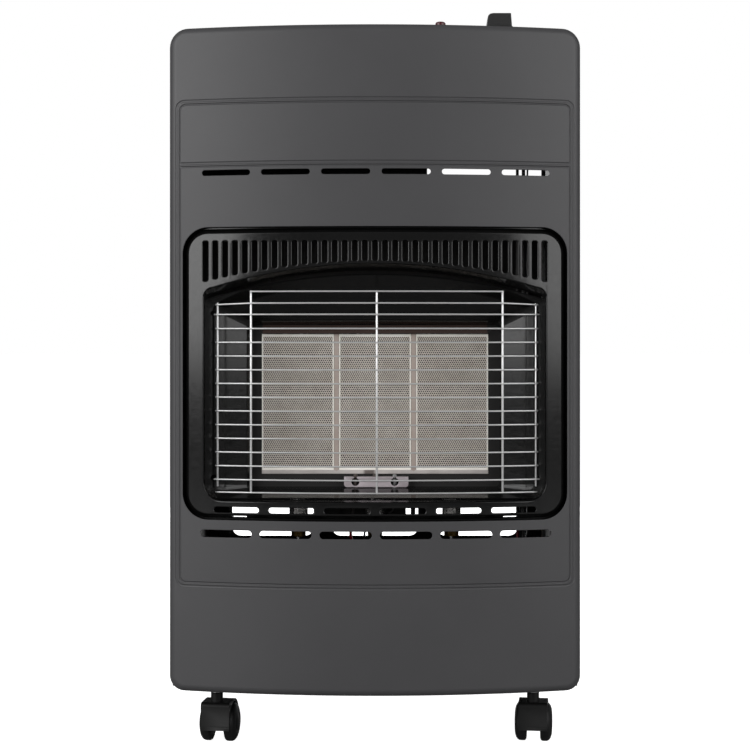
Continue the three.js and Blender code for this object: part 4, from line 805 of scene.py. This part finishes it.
# Cream margins, with painted shade inside the holes
plaque_ceramic = grained(
    "plaque ceramic",
    (0.62, 0.56, 0.5, 1),
    (0.75, 0.69, 0.63, 1),
    (0.9, 0.9),
    900.0,
    0.3,
    specular=0.2,
    cloud=45.0,
    stain_and_shade=cream_margin_and_hole_shade,
)
scorched_ledge = grained(
    "scorched ledge",
    (0.42, 0.385, 0.37, 1),
    (0.56, 0.52, 0.5, 1),
    (0.6, 0.6),
    700.0,
    0.15,
    0.2,
    cloud=50.0,
    stain_and_shade=pilot_scorch,
)
stained_frame = grained(
    "heat stained frame",
    (0.4, 0.33, 0.29, 1),
    (0.48, 0.41, 0.37, 1),
    (0.6, 0.6),
    500.0,
    0.1,
    0.3,
    cloud=60.0,
    stain_and_shade=heat_stain,
)


def paint(obj, material):
    obj.data.materials.clear()
    obj.data.materials.append(material)
    return obj


paint(floor, floor_material())

node_body = {node: body for body, nodes in frame["record"]["behaviour"]["bodies"].items() for node in nodes}


def fit_for(piece, node, material):
    """The piece stands for the node and rides on its body."""
    paint(piece, material)
    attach(piece, node_body[node])
    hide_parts(node)
    return piece


# Front panel
def front_panel_skin():
    body = pan(
        "front_panel_skin",
        HALF_WIDTH,
        PANEL_LOW.z,
        PANEL_HIGH.z,
        FLANGE_BACK,
        PANEL_BOTTOM_RADIUS,
        PANEL_TOP_RADIUS,
        SHEET,
        round_edge=PANEL_EDGE_RADIUS,
    )
    for pressed_line in (field_line, band_line):
        for line in FIELD_LINES:
            carve(body, pressed_line(**line))
    carve(body, window_tool("window", SURROUND_GAP))
    vent_places = spaced(VENT_COUNT, VENT_PITCH, VENT_SHIFT)
    carve(body, row_of_slots(vent_places, **UPPER_VENTS))
    carve(body, row_of_slots(vent_places, **LOWER_VENTS))
    round_the_rims(body, HALF_WIDTH - PANEL_EDGE_RADIUS - mm, PANEL_RIM)
    bow(body, FLANGE_BACK - mm)
    return even_shading(smooth(body))


def window_tool(name, margin):
    """A tool for an opening round the surround, larger than it by a margin."""
    tool = add_block(
        name,
        (-SURROUND_HALF - margin, APEX - OVERRUN, SURROUND_BOTTOM - margin),
        (SURROUND_HALF + margin, EDGE, SURROUND_TOP + margin),
    )
    return bevel_edges(tool, along_y, SURROUND_RADIUS + margin, WINDOW_SEGMENTS)


def band_line(inset, radius, depth):
    """The round-bottomed line across the field, under the plain upper band."""
    y = APEX + depth - radius
    half = FIELD_HALF_WIDTH - FIELD_LINES[1]["inset"]
    height = BAND_HEIGHT - inset
    return add_rod("band line", radius, (-half, y, height), (half, y, height), 32)


def field_line(inset, radius, depth):
    """The round-bottomed line pressed round the front's field, as a tool for carving it."""
    y = APEX + depth - radius
    path = add_block(
        "field line",
        (-FIELD_HALF_WIDTH + inset, y, FIELD_BOTTOM + inset),
        (FIELD_HALF_WIDTH - inset, y + mm, FIELD_TOP - inset),
    )
    bevel_edges(path, along_y, FIELD_RADIUS - inset / 2, 6)
    with editing(path):
        pick_faces(path, lambda centre, normal: normal.y > -STRAIGHT)
        bpy.ops.mesh.delete(type="FACE")
        pick_all()
        bpy.ops.mesh.delete(type="ONLY_FACE")
    return tube_along(path, radius, 6)


# Burner surround
def surround_skin():
    body = pan(
        "burner_surround_skin",
        SURROUND_HALF,
        SURROUND_BOTTOM,
        SURROUND_TOP,
        SURROUND_HIGH.y,
        SURROUND_RADIUS,
        SURROUND_RADIUS,
        SURROUND_SHEET,
        skirt=SURROUND_SKIRT,
    )
    mouth_back = REFLECTOR_LOW.y - MOUTH_GAP
    front = APEX + LINING_SETBACK
    depth = mouth_back - front
    lining = prism_from(mouth_plate("mouth lining", front, SURROUND_SHEET), depth)
    carve(body, lower_the_roof(lining, MOUTH_DROP), "UNION")
    opening = prism_from(mouth_plate("mouth", APEX - OVERRUN), OVERRUN + LINING_SETBACK + 2 * depth)
    carve(body, lower_the_roof(opening, 2 * MOUTH_DROP))
    round_the_rims(body, MOUTH_HALF + 2 * mm, MOUTH_RIM)
    carve(body, surround_flange(), "UNION")
    carve(body, louvre_tools())
    carve(body, row_of_slots(spaced(VENT_COUNT, LIP_VENT_PITCH), **LIP_VENTS))
    round_the_rims(body, SURROUND_HALF - SURROUND_SKIRT["inset"] - 2 * mm, LOUVRE_RIM)
    clip_places = [-CLIP_SLOT_ACROSS, CLIP_SLOT_ACROSS]
    carve(body, row_of_slots(clip_places, **CLIP_SLOTS))
    half = CLIP_SLOTS["length"] / 2
    behind = APEX + SURROUND_SKIRT["depth"] + SURROUND_SHEET / 2
    for x in clip_places:
        notch = add_block(
            "clip notch",
            (x - half, behind, SURROUND_BOTTOM - CLIP_NOTCH_RISE / 2),
            (x + half, SURROUND_HIGH.y + OVERRUN, SURROUND_BOTTOM + CLIP_NOTCH_RISE / 2),
        )
        carve(body, notch)
    bow(body, mouth_back - 4 * mm)
    return even_shading(smooth(body))


def mouth_plate(name, y, margin=0):
    """The outline of the mouth, larger by a margin."""
    return arched_plate(
        name,
        half=MOUTH_HALF + margin,
        bottom=MOUTH_BOTTOM - margin,
        shoulder=MOUTH_SHOULDER + margin,
        rise=MOUTH_RISE,
        low_radius=MOUTH_LOW_RADIUS + margin,
        high_radius=MOUTH_HIGH_RADIUS + margin,
        y=y,
    )


def lower_the_roof(prism, drop):
    """Slopes the arched roof of a prism down towards its back, from just behind the front."""
    start = APEX + LINING_SETBACK
    with editing(prism):
        pick_all()
        bpy.ops.mesh.bisect(plane_co=(0, start, 0), plane_no=(0, 1, 0))
    high = MOUTH_SHOULDER - 2 * MOUTH_HIGH_RADIUS
    return displace(prism, "Z", lambda co: 1 if co.y > start + mm and co.z > high else 0, -drop)


def surround_flange():
    behind = APEX + SURROUND_SKIRT["depth"]
    flange = add_block(
        "flange",
        (SURROUND_LOW.x, behind, SURROUND_LOW.z),
        (SURROUND_HIGH.x, behind + SURROUND_SHEET, SURROUND_HIGH.z),
    )
    bevel_edges(flange, along_y, SURROUND_RADIUS + SURROUND_LIP, WINDOW_SEGMENTS)
    return carve(flange, window_tool("hole", -SURROUND_SHEET / 2))


def louvre_tools():
    """A slot for each louvre, shorter towards the middle."""
    places = spaced(LOUVRE_COUNT, LOUVRE_PITCH)
    tools = []
    for x in places:
        length = LOUVRE_SHORTEST + (LOUVRE_LONGEST - LOUVRE_SHORTEST) * (x / places[-1]) ** 2
        tool = slot_tool(LOUVRE_WIDTH, LOUVRE_TOP - length / 2, length, corner=LOUVRE_CORNER)
        tool.data.transform(Matrix.Translation((x, 0, 0)))
        tools.append(tool)
    return joined("louvres", tools)


fit_for(front_panel_skin(), "front_panel", cabinet_paint)
fit_for(surround_skin(), "burner_surround", black_enamel)


# Reflector: its outline at four depths, from the mouth to the burner
OUTLINE_PARTS = ("half", "bottom", "shoulder", "rise", "low_radius", "high_radius")


def outline(*sizes):
    return {part: size * mm for part, size in zip(OUTLINE_PARTS, sizes)}


THROAT = outline(175.5, 259, 463, 24.5, 16, 6)
KNEE = outline(162, 261.7, 456, 17, 12, 7)
WAIST = outline(132, 265, 440, 1, 6, 6)
BURNER_END = outline(132, 266, 437, 1, 6, 6)
KNEE_DEPTH = 12.6 * mm
KNEE_FOLD = 5 * mm
WAIST_DEPTH = 31.4 * mm
WAIST_FOLD = 2.5 * mm
REFLECTOR_SHEET = 1 * mm
HOOK_SLOTS = {"front": 5.5 * mm, "back": 11.2 * mm, "heights": (280 * mm, 448.2 * mm), "rise": 5 * mm}
HOOK_SLOT_CORNER = 2.4 * mm
ROLLED_EDGE = 0.8 * mm
PILOT_GAP = {"half": 25 * mm, "front": -133.5 * mm, "back": -125.2 * mm, "below": 1.3 * mm}


def reflector_skin():
    front, back = REFLECTOR_LOW.y, REFLECTOR_HIGH.y
    rings = [(THROAT, front), (KNEE, front + KNEE_DEPTH), (WAIST, front + WAIST_DEPTH), (BURNER_END, back)]
    body = joined("reflector_skin", [arched_plate("reflector_skin", y=y, **ring) for ring, y in rings])
    depths = [y for ring, y in rings]
    with editing(body):
        pick_all()
        bpy.ops.mesh.delete(type="ONLY_FACE")
        for low, high in zip(depths, depths[1:]):
            pick_edges(body, lambda a, b: across_y(a, b) and low - TINY < a.y < high + TINY)
            bpy.ops.mesh.bridge_edge_loops()
        face_outwards()
    for depth, width, segments in ((depths[2], WAIST_FOLD, 4), (depths[1], KNEE_FOLD, 8)):
        bevel_edges(body, lambda a, b: across_y(a, b) and abs(a.y - depth) < TINY, width, segments)
    give_wall(body, REFLECTOR_SHEET)
    for height in HOOK_SLOTS["heights"]:
        slot = add_block(
            "hook slots",
            (-HALF_WIDTH, front + HOOK_SLOTS["front"], height - HOOK_SLOTS["rise"] / 2),
            (HALF_WIDTH, front + HOOK_SLOTS["back"], height + HOOK_SLOTS["rise"] / 2),
        )
        bevel_edges(slot, lambda a, b: abs(a.x - b.x) > HALF_WIDTH, HOOK_SLOT_CORNER, 4)
        carve(body, slot)
    gap = add_block(
        "pilot gap",
        (-PILOT_GAP["half"], PILOT_GAP["front"], REFLECTOR_LOW.z - mm),
        (PILOT_GAP["half"], PILOT_GAP["back"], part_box("pilot_bracket")[1].z - PILOT_GAP["below"]),
    )
    carve(body, gap)
    hem = rolled_edge(THROAT, front + ROLLED_EDGE / 2)
    return even_shading(smooth(joined("reflector_skin", [body, hem])))


def rolled_edge(ring, y):
    """The rolled hem along the arch of a ring."""
    path = arched_plate("rolled edge", y=y, **ring)
    high = ring["shoulder"] - ring["high_radius"] / 2
    with editing(path):
        pick_all()
        bpy.ops.mesh.delete(type="ONLY_FACE")
        pick_edges(path, lambda a, b: min(a.z, b.z) < high)
        bpy.ops.mesh.delete(type="EDGE")
    return tube_along(path, ROLLED_EDGE, 3)


# Wire guard
def guard_back(x):
    """How far behind the guard's front a cross wire lies."""
    across = abs(x - GUARD_SHIFT)
    if across <= GUARD_KNEE:
        return GUARD_KNEE_BACK * (across / GUARD_KNEE) ** 2
    slope = (GUARD_END_BACK - GUARD_KNEE_BACK) / (GUARD_END - GUARD_KNEE)
    return GUARD_KNEE_BACK + slope * (min(across, GUARD_END) - GUARD_KNEE)


def wire_piece(name, radius, start, end, sides, tip):
    """A straight wire whose two ends are rounded off."""
    wire = add_rod(name, radius, start, end, sides)
    run = Vector(end) - Vector(start)
    return bevel_edges(wire, lambda a, b: abs((a - b).dot(run)) < TINY * run.length, tip, 2)


def cross_wire(height, reach, droop=0):
    ends = [(GUARD_SHIFT + side * reach, GUARD_FRONT, height) for side in (-1, 1)]
    wire = wire_piece("cross wire", GUARD_WIRE, *ends, 12, WIRE_TIP)
    with editing(wire):
        pick_edges(wire, lambda a, b: abs(a.x - b.x) > reach)
        bpy.ops.mesh.subdivide(number_cuts=GUARD_CUTS)
    if droop:
        run = GUARD_END - GUARD_KNEE
        displace(wire, "Z", lambda co: max(0, abs(co.x - GUARD_SHIFT) - GUARD_KNEE) / run, -droop)
    return displace(wire, "Y", lambda co: guard_back(co.x) / GUARD_END_BACK, GUARD_END_BACK)


def guard_post(across, bottom, top):
    x = GUARD_SHIFT + across
    y = GUARD_FRONT + guard_back(x) + GUARD_WIRE + GUARD_POST - GUARD_WELD
    return wire_piece("post", GUARD_POST, (x, y, bottom), (x, y, top), 14, POST_TIP)


def guard_hook(side, height):
    """The turned end of a wire, which reaches back into the reflector's hook hole."""
    x = GUARD_SHIFT + side * (GUARD_HOOK - GUARD_WIRE)
    y = GUARD_FRONT + GUARD_END_BACK
    return wire_piece("hook", GUARD_WIRE, (x, y, height), (x, y + GUARD_HOOK_LENGTH, height), 12, WIRE_TIP)


def guard_skin():
    rows = [GUARD_FIRST + GUARD_PITCH * i for i in range(GUARD_PITCH_COUNT)]
    wires = [cross_wire(rows[0], GUARD_HOOK)]
    wires += [cross_wire(height, GUARD_END) for height in rows[1:]]
    wires += [
        cross_wire(GUARD_UPPER, GUARD_HOOK),
        cross_wire(GUARD_SHOULDER, GUARD_END, GUARD_DROOP),
        cross_wire(GUARD_TOP, GUARD_KNEE + GUARD_POST),
        cross_wire(GUARD_BOTTOM, GUARD_END),
    ]
    posts = [guard_post(across, **INNER_POST) for across in (-GUARD_KNEE, 0, GUARD_KNEE)]
    posts += [guard_post(across, **OUTER_POST) for across in (-OUTER_ACROSS, OUTER_ACROSS)]
    hooks = [guard_hook(side, height) for side in (-1, 1) for height in (rows[0], GUARD_UPPER)]
    return smooth(joined("guard_grille_wires", wires + posts + hooks))


fit_for(reflector_skin(), "reflector", reflector_enamel)
fit_for(guard_skin(), "guard_grille", bright_wire)


# Plaques
PLAQUE_PITCH = 2.1 * mm
PLAQUE_ROW = 2.04 * mm
PLAQUE_HOLE = {"radius": 0.74 * mm, "depth": 1.7 * mm, "sides": 12}
PLAQUE_MARGINS = {"side": 1.5 * mm, "bottom": 6.1 * mm, "top": 3 * mm}
PLAQUE_FACE = 0.6 * mm
PLAQUE_HOLLOW = 2.4 * mm
PLAQUE_EDGE = 0.3 * mm
NEAR = 1.02  # a place this much further out than a hole's radius still counts as on its rim
BURNERS = ("left", "centre", "right")


def plaque_skin(node):
    low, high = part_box(node)
    left, right = low.x + PLAQUE_MARGINS["side"], high.x - PLAQUE_MARGINS["side"]
    bottom, top = low.z + PLAQUE_MARGINS["bottom"], high.z - PLAQUE_MARGINS["top"]
    body = add_block(node + "_body", low, high)
    carve(body, add_block("hollow", (left, low.y - OVERRUN, bottom), (right, low.y + PLAQUE_HOLLOW, top)))
    soften(body, PLAQUE_EDGE)
    field = plaque_field(left, right, bottom, top, low.y + PLAQUE_FACE)
    return smooth(joined(node + "_skin", [body, field]), 30)


def ring_of(sides, radius, turn=0):
    deselect()
    bpy.ops.mesh.primitive_circle_add(
        vertices=sides, radius=radius, rotation=(math.pi / 2, turn, 0), fill_type="NOTHING"
    )
    return bpy.context.object


def plaque_cell():
    """One six-sided cell of the field, facing the front, with its round hole."""
    cell = ring_of(6, PLAQUE_PITCH / math.sqrt(3), math.pi / 6)
    cell.scale = (1, PLAQUE_ROW / (PLAQUE_PITCH * math.sqrt(3) / 2), 1)
    settle()
    hole = ring_of(PLAQUE_HOLE["sides"], PLAQUE_HOLE["radius"])
    settle()
    cell = joined("plaque cell", [cell, hole])
    with editing(cell):
        bpy.ops.mesh.select_mode(type="EDGE")
        pick_all()
        bpy.ops.mesh.bridge_edge_loops()
        near_hole = PLAQUE_HOLE["radius"] * NEAR
        pick_edges(cell, lambda a, b: max(math.hypot(a.x, a.z), math.hypot(b.x, b.z)) < near_hole)
        bpy.ops.mesh.extrude_region_move(TRANSFORM_OT_translate={"value": (0, PLAQUE_HOLE["depth"], 0)})
        face_outwards()
    return cell


def plaque_field(left, right, bottom, top, y):
    """Rows of cells, set off by half a pitch, and cut to the field's sides."""
    across = math.ceil((right - left) / PLAQUE_PITCH) + 2
    up = math.ceil((top - bottom) / PLAQUE_ROW / 2) + 1
    field = plaque_cell()
    second = twin(field, "second row", Matrix.Translation((PLAQUE_PITCH / 2, 0, PLAQUE_ROW)))
    field = joined("plaque field", [field, second])
    for count, step in ((across, (PLAQUE_PITCH, 0, 0)), (up, (0, 0, 2 * PLAQUE_ROW))):
        apply_new(
            field,
            "ARRAY",
            count=count,
            use_relative_offset=False,
            use_constant_offset=True,
            constant_offset_displace=step,
            use_merge_vertices=True,
            merge_threshold=TINY,
        )
    half_width, half_height = (across - 0.5) * PLAQUE_PITCH / 2, (2 * up - 1) * PLAQUE_ROW / 2
    start = ((left + right) / 2 - half_width, y, (bottom + top) / 2 - half_height)
    field.data.transform(Matrix.Translation(start))
    limits = [
        ((left, 0, 0), (-1, 0, 0)),
        ((right, 0, 0), (1, 0, 0)),
        ((0, 0, bottom), (0, 0, -1)),
        ((0, 0, top), (0, 0, 1)),
    ]
    with editing(field):
        pick_all()
        bpy.ops.mesh.remove_doubles(threshold=TINY)
        for point, normal in limits:
            pick_all()
            bpy.ops.mesh.bisect(plane_co=point, plane_no=normal, clear_outer=True)
    return field


for side in BURNERS:
    node = "ceramic_plaque_" + side
    fit_for(plaque_skin(node), node, plaque_ceramic)


# The ledge that carries the plaques, with a small notch under each strip
LEDGE = {"rise": 3.7 * mm, "drop": 0.3 * mm, "sheet": 0.9 * mm, "gap": 0.15 * mm, "edge": 0.3 * mm}
LEDGE_NOTCH = 1.5 * mm


def burner_ledge():
    face = PLAQUES_LOW.y - LEDGE["gap"]
    top = PLAQUES_LOW.z + LEDGE["rise"]
    low = (PLAQUES_LOW.x, face - LEDGE["sheet"], PLAQUES_LOW.z - LEDGE["drop"])
    ledge = add_block("burner_ledge", low, (PLAQUES_HIGH.x, face, top))
    for side in (-1, 1):
        x = side * (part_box("ceramic_plaque_centre")[1].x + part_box("ceramic_plaque_right")[0].x) / 2
        carve(ledge, add_rod("notch", LEDGE_NOTCH, (x, face - 3 * mm, top), (x, face + mm, top)))
    soften(ledge, LEDGE["edge"], 3)
    return paint(smooth(ledge), scorched_ledge)


ledge = burner_ledge()
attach(ledge, node_body["burner_frame"])


# Pilot bracket: a thin plate with a leg back to the burner, and two sight holes open to its top
BRACKET = {"bottom": 267.2 * mm, "top": 277.8 * mm, "sheet": 1 * mm, "low_corner": 3.2 * mm}
BRACKET_EDGE = 0.2 * mm
SIGHT_HOLE = {"across": 20.5 * mm, "height": 272.7 * mm, "radius": 4.2 * mm, "depth": 2.5 * mm}
SIGHT_NECK = {"half": 1.5 * mm, "short": 3 * mm}


def pilot_bracket_skin():
    low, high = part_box("pilot_bracket")
    bottom, top, sheet = BRACKET["bottom"], BRACKET["top"], BRACKET["sheet"]
    plate = add_block("pilot_bracket_skin", (low.x, low.y, bottom), (high.x, low.y + sheet, top))
    bevel_edges(plate, lambda a, b: along_y(a, b) and a.z < bottom + mm, BRACKET["low_corner"], 6)
    leg = add_block("leg", (low.x, low.y + sheet / 5, top - sheet), (high.x, high.y - sheet / 2, top))
    carve(plate, leg, "UNION")
    front, back, height = low.y - 2 * mm, low.y + SIGHT_HOLE["depth"], SIGHT_HOLE["height"]
    half, neck_back = SIGHT_NECK["half"], high.y - SIGHT_NECK["short"]
    for x in (-SIGHT_HOLE["across"], SIGHT_HOLE["across"]):
        carve(plate, add_rod("sight hole", SIGHT_HOLE["radius"], (x, front, height), (x, back, height), 40))
        carve(plate, add_block("neck", (x - half, front, height), (x + half, neck_back, high.z)))
    soften(plate, BRACKET_EDGE)
    return smooth(plate)


fit_for(pilot_bracket_skin(), "pilot_bracket", bracket_steel)


# Casters, modelled round their own stem and then set in place
CASTER_TURNS = {"front_left": -8, "front_right": -8, "rear_left": 14, "rear_right": -11}
AXLE = Vector((0, 14 * mm, 20 * mm))
HOOD = {"radius": 24 * mm, "wall": 2.6 * mm, "half": 15 * mm, "shoulder": 4 * mm, "edge": 1.1 * mm}
HOOD_FRONT = 15.4 * mm
HOOD_REAR = 30 * mm
HOOD_WEB = 4.6 * mm
HOOD_BOSS = {"radius": 6.7 * mm, "half": 5.6 * mm}
HOOD_NECK = {"radius": 6.3 * mm, "top": 54 * mm, "sunk": 6 * mm, "edge": 0.8 * mm}
# Radius from the axle and distance from the caster's middle, in millimetres
WHEEL_PROFILE = [
    (0, 14.8), (2.8, 14.8), (2.8, 5.9), (8.5, 5.9),
    (9.5, 7.3), (17.4, 7.3), (19.1, 7.9), (19.9, 9.2),
    (20, 10.6), (20, 13.4), (19.7, 14.9), (18.7, 16.5),
    (16.8, 17.9), (13.6, 19.0), (10.2, 19.4), (9.6, 19.0),
    (8.8, 19.0), (8.2, 19.5), (0, 19.8),
]


def across_rod(name, radius, half, sides=64):
    return add_rod(name, radius, AXLE - Vector((half, 0, 0)), AXLE + Vector((half, 0, 0)), sides)


def caster_hood():
    half, radius = HOOD["half"], HOOD["radius"]
    hood = across_rod("caster hood", radius, half)
    nose = add_block("nose", (-half, AXLE.y - radius, AXLE.z), (half, AXLE.y, AXLE.z + radius))

    def is_shoulder(a, b):
        return abs(a.x - b.x) > half and a.y < AXLE.y - mm and a.z > AXLE.z + mm

    bevel_edges(nose, is_shoulder, HOOD["shoulder"], 8)
    carve(hood, nose, "UNION")
    carve(hood, across_rod("inside", radius - HOOD["wall"], half + mm))
    carve(hood, across_rod("web", radius - HOOD["wall"] / 2, HOOD_WEB), "UNION")
    reach = 2 * radius
    carve(hood, add_block("front gap", (-reach, AXLE.y - reach, -reach), (reach, AXLE.y + mm, HOOD_FRONT)))
    carve(hood, add_block("rear gap", (-reach, AXLE.y, -reach), (reach, AXLE.y + reach, HOOD_REAR)))
    carve(hood, across_rod("boss", HOOD_BOSS["radius"], HOOD_BOSS["half"], 32), "UNION")
    soften(hood, HOOD["edge"], 4, 50)
    top = HOOD_NECK["top"]
    foot = AXLE.z + radius - HOOD_NECK["sunk"]
    neck = add_rod("neck", HOOD_NECK["radius"], (0, 0, foot), (0, 0, top), 40)
    bevel_edges(neck, lambda a, b: min(a.z, b.z) > top - 0.1 * mm, HOOD_NECK["edge"], 3)
    return smooth(carve(hood, neck, "UNION"))


def caster_wheel():
    wheel = spun("caster wheel", [(radius * mm, across * mm) for radius, across in WHEEL_PROFILE], 56)
    wheel.data.transform(Matrix.Translation(AXLE) @ Matrix.Rotation(math.pi / 2, 4, "Y"))
    return smooth(wheel)


def set_casters():
    hood, wheel = caster_hood(), caster_wheel()
    for corner, turn in CASTER_TURNS.items():
        low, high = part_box("caster_stem_" + corner)
        stand = Matrix.Translation(((low.x + high.x) / 2, (low.y + high.y) / 2, 0))
        place = stand @ Matrix.Rotation(math.radians(turn), 4, "Z")
        piece = twin(hood, "caster_hood_" + corner + "_skin", place)
        fit_for(piece, "caster_hood_" + corner, caster_nylon)
        for side, mirror in (("r", Matrix.Identity(4)), ("l", Matrix.Scale(-1, 4, (1, 0, 0)))):
            node = "caster_wheel_" + corner + "_" + side
            fit_for(twin(wheel, node + "_skin", place @ mirror), node, caster_nylon)
    bpy.data.objects.remove(hood)
    bpy.data.objects.remove(wheel)


set_casters()


# The other pieces keep their solids, and the six that show most get a copy with soft edges
WELD = 0.002 * mm
FLAT = 0.5  # degrees between faces that make one flat face
FINISHES = [
    (cabinet_paint, ["side_panel_left", "side_panel_right", "top_panel", "base_plate", "rear_cover"]),
    (sooty_sheet, ["heat_shield", "injector_rail"]),
    (zinc_sheet, ["burner_carrier", "tap_bracket"]),
    (stained_frame, ["burner_frame"]),
    (scorched_steel, ["pilot_burner", "spark_electrode"]),
    (turned_brass, ["gas_tap", "hose_inlet"]),
    (dull_tube, ["thermocouple", "pilot_pipe"]),
    (drawn_tube, ["knob_spindle", "knob_spring"]),
    (shaded_lead, ["ignition_lead"]),
    (black_plastic, ["control_knob", "igniter_body"]),
    (red_plastic, ["igniter_button"]),
]
for side in BURNERS:
    FINISHES += [
        (burner_steel, ["burner_box_" + side]),
        (turned_brass, ["injector_" + side]),
        (drawn_tube, ["gas_pipe_" + side]),
    ]
for corner in CASTER_TURNS:
    wheel = "caster_wheel_" + corner
    FINISHES += [
        (zinc_sheet, ["caster_stem_" + corner, "caster_axle_" + corner]),
        (caster_nylon, ["caster_hood_" + corner, wheel + "_l", wheel + "_r"]),
    ]
finishes = {node: material for material, nodes in FINISHES for node in nodes}
for node, material in finishes.items():
    paint(frame["nodes"][node], material)

SOFT_EDGES = {
    "top_panel": 0.4 * mm,
    "side_panel_left": 0.35 * mm,
    "side_panel_right": 0.35 * mm,
    "rear_cover": 0.35 * mm,
    "control_knob": 0.6 * mm,
    "igniter_button": 0.3 * mm,
}


def softened_copy(node, edge):
    piece = frame["nodes"][node].copy()
    piece.data = piece.data.copy()
    piece.name = node + "_skin"
    piece.parent = None
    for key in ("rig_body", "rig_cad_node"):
        if key in piece:
            del piece[key]
    bpy.context.scene.collection.objects.link(piece)
    with editing(piece):
        pick_all()
        bpy.ops.mesh.remove_doubles(threshold=WELD)
        bpy.ops.mesh.dissolve_limited(angle_limit=math.radians(FLAT))
    soften(piece, edge)
    return even_shading(smooth(piece, 38))


for node, edge in SOFT_EDGES.items():
    fit_for(softened_copy(node, edge), node, finishes[node])
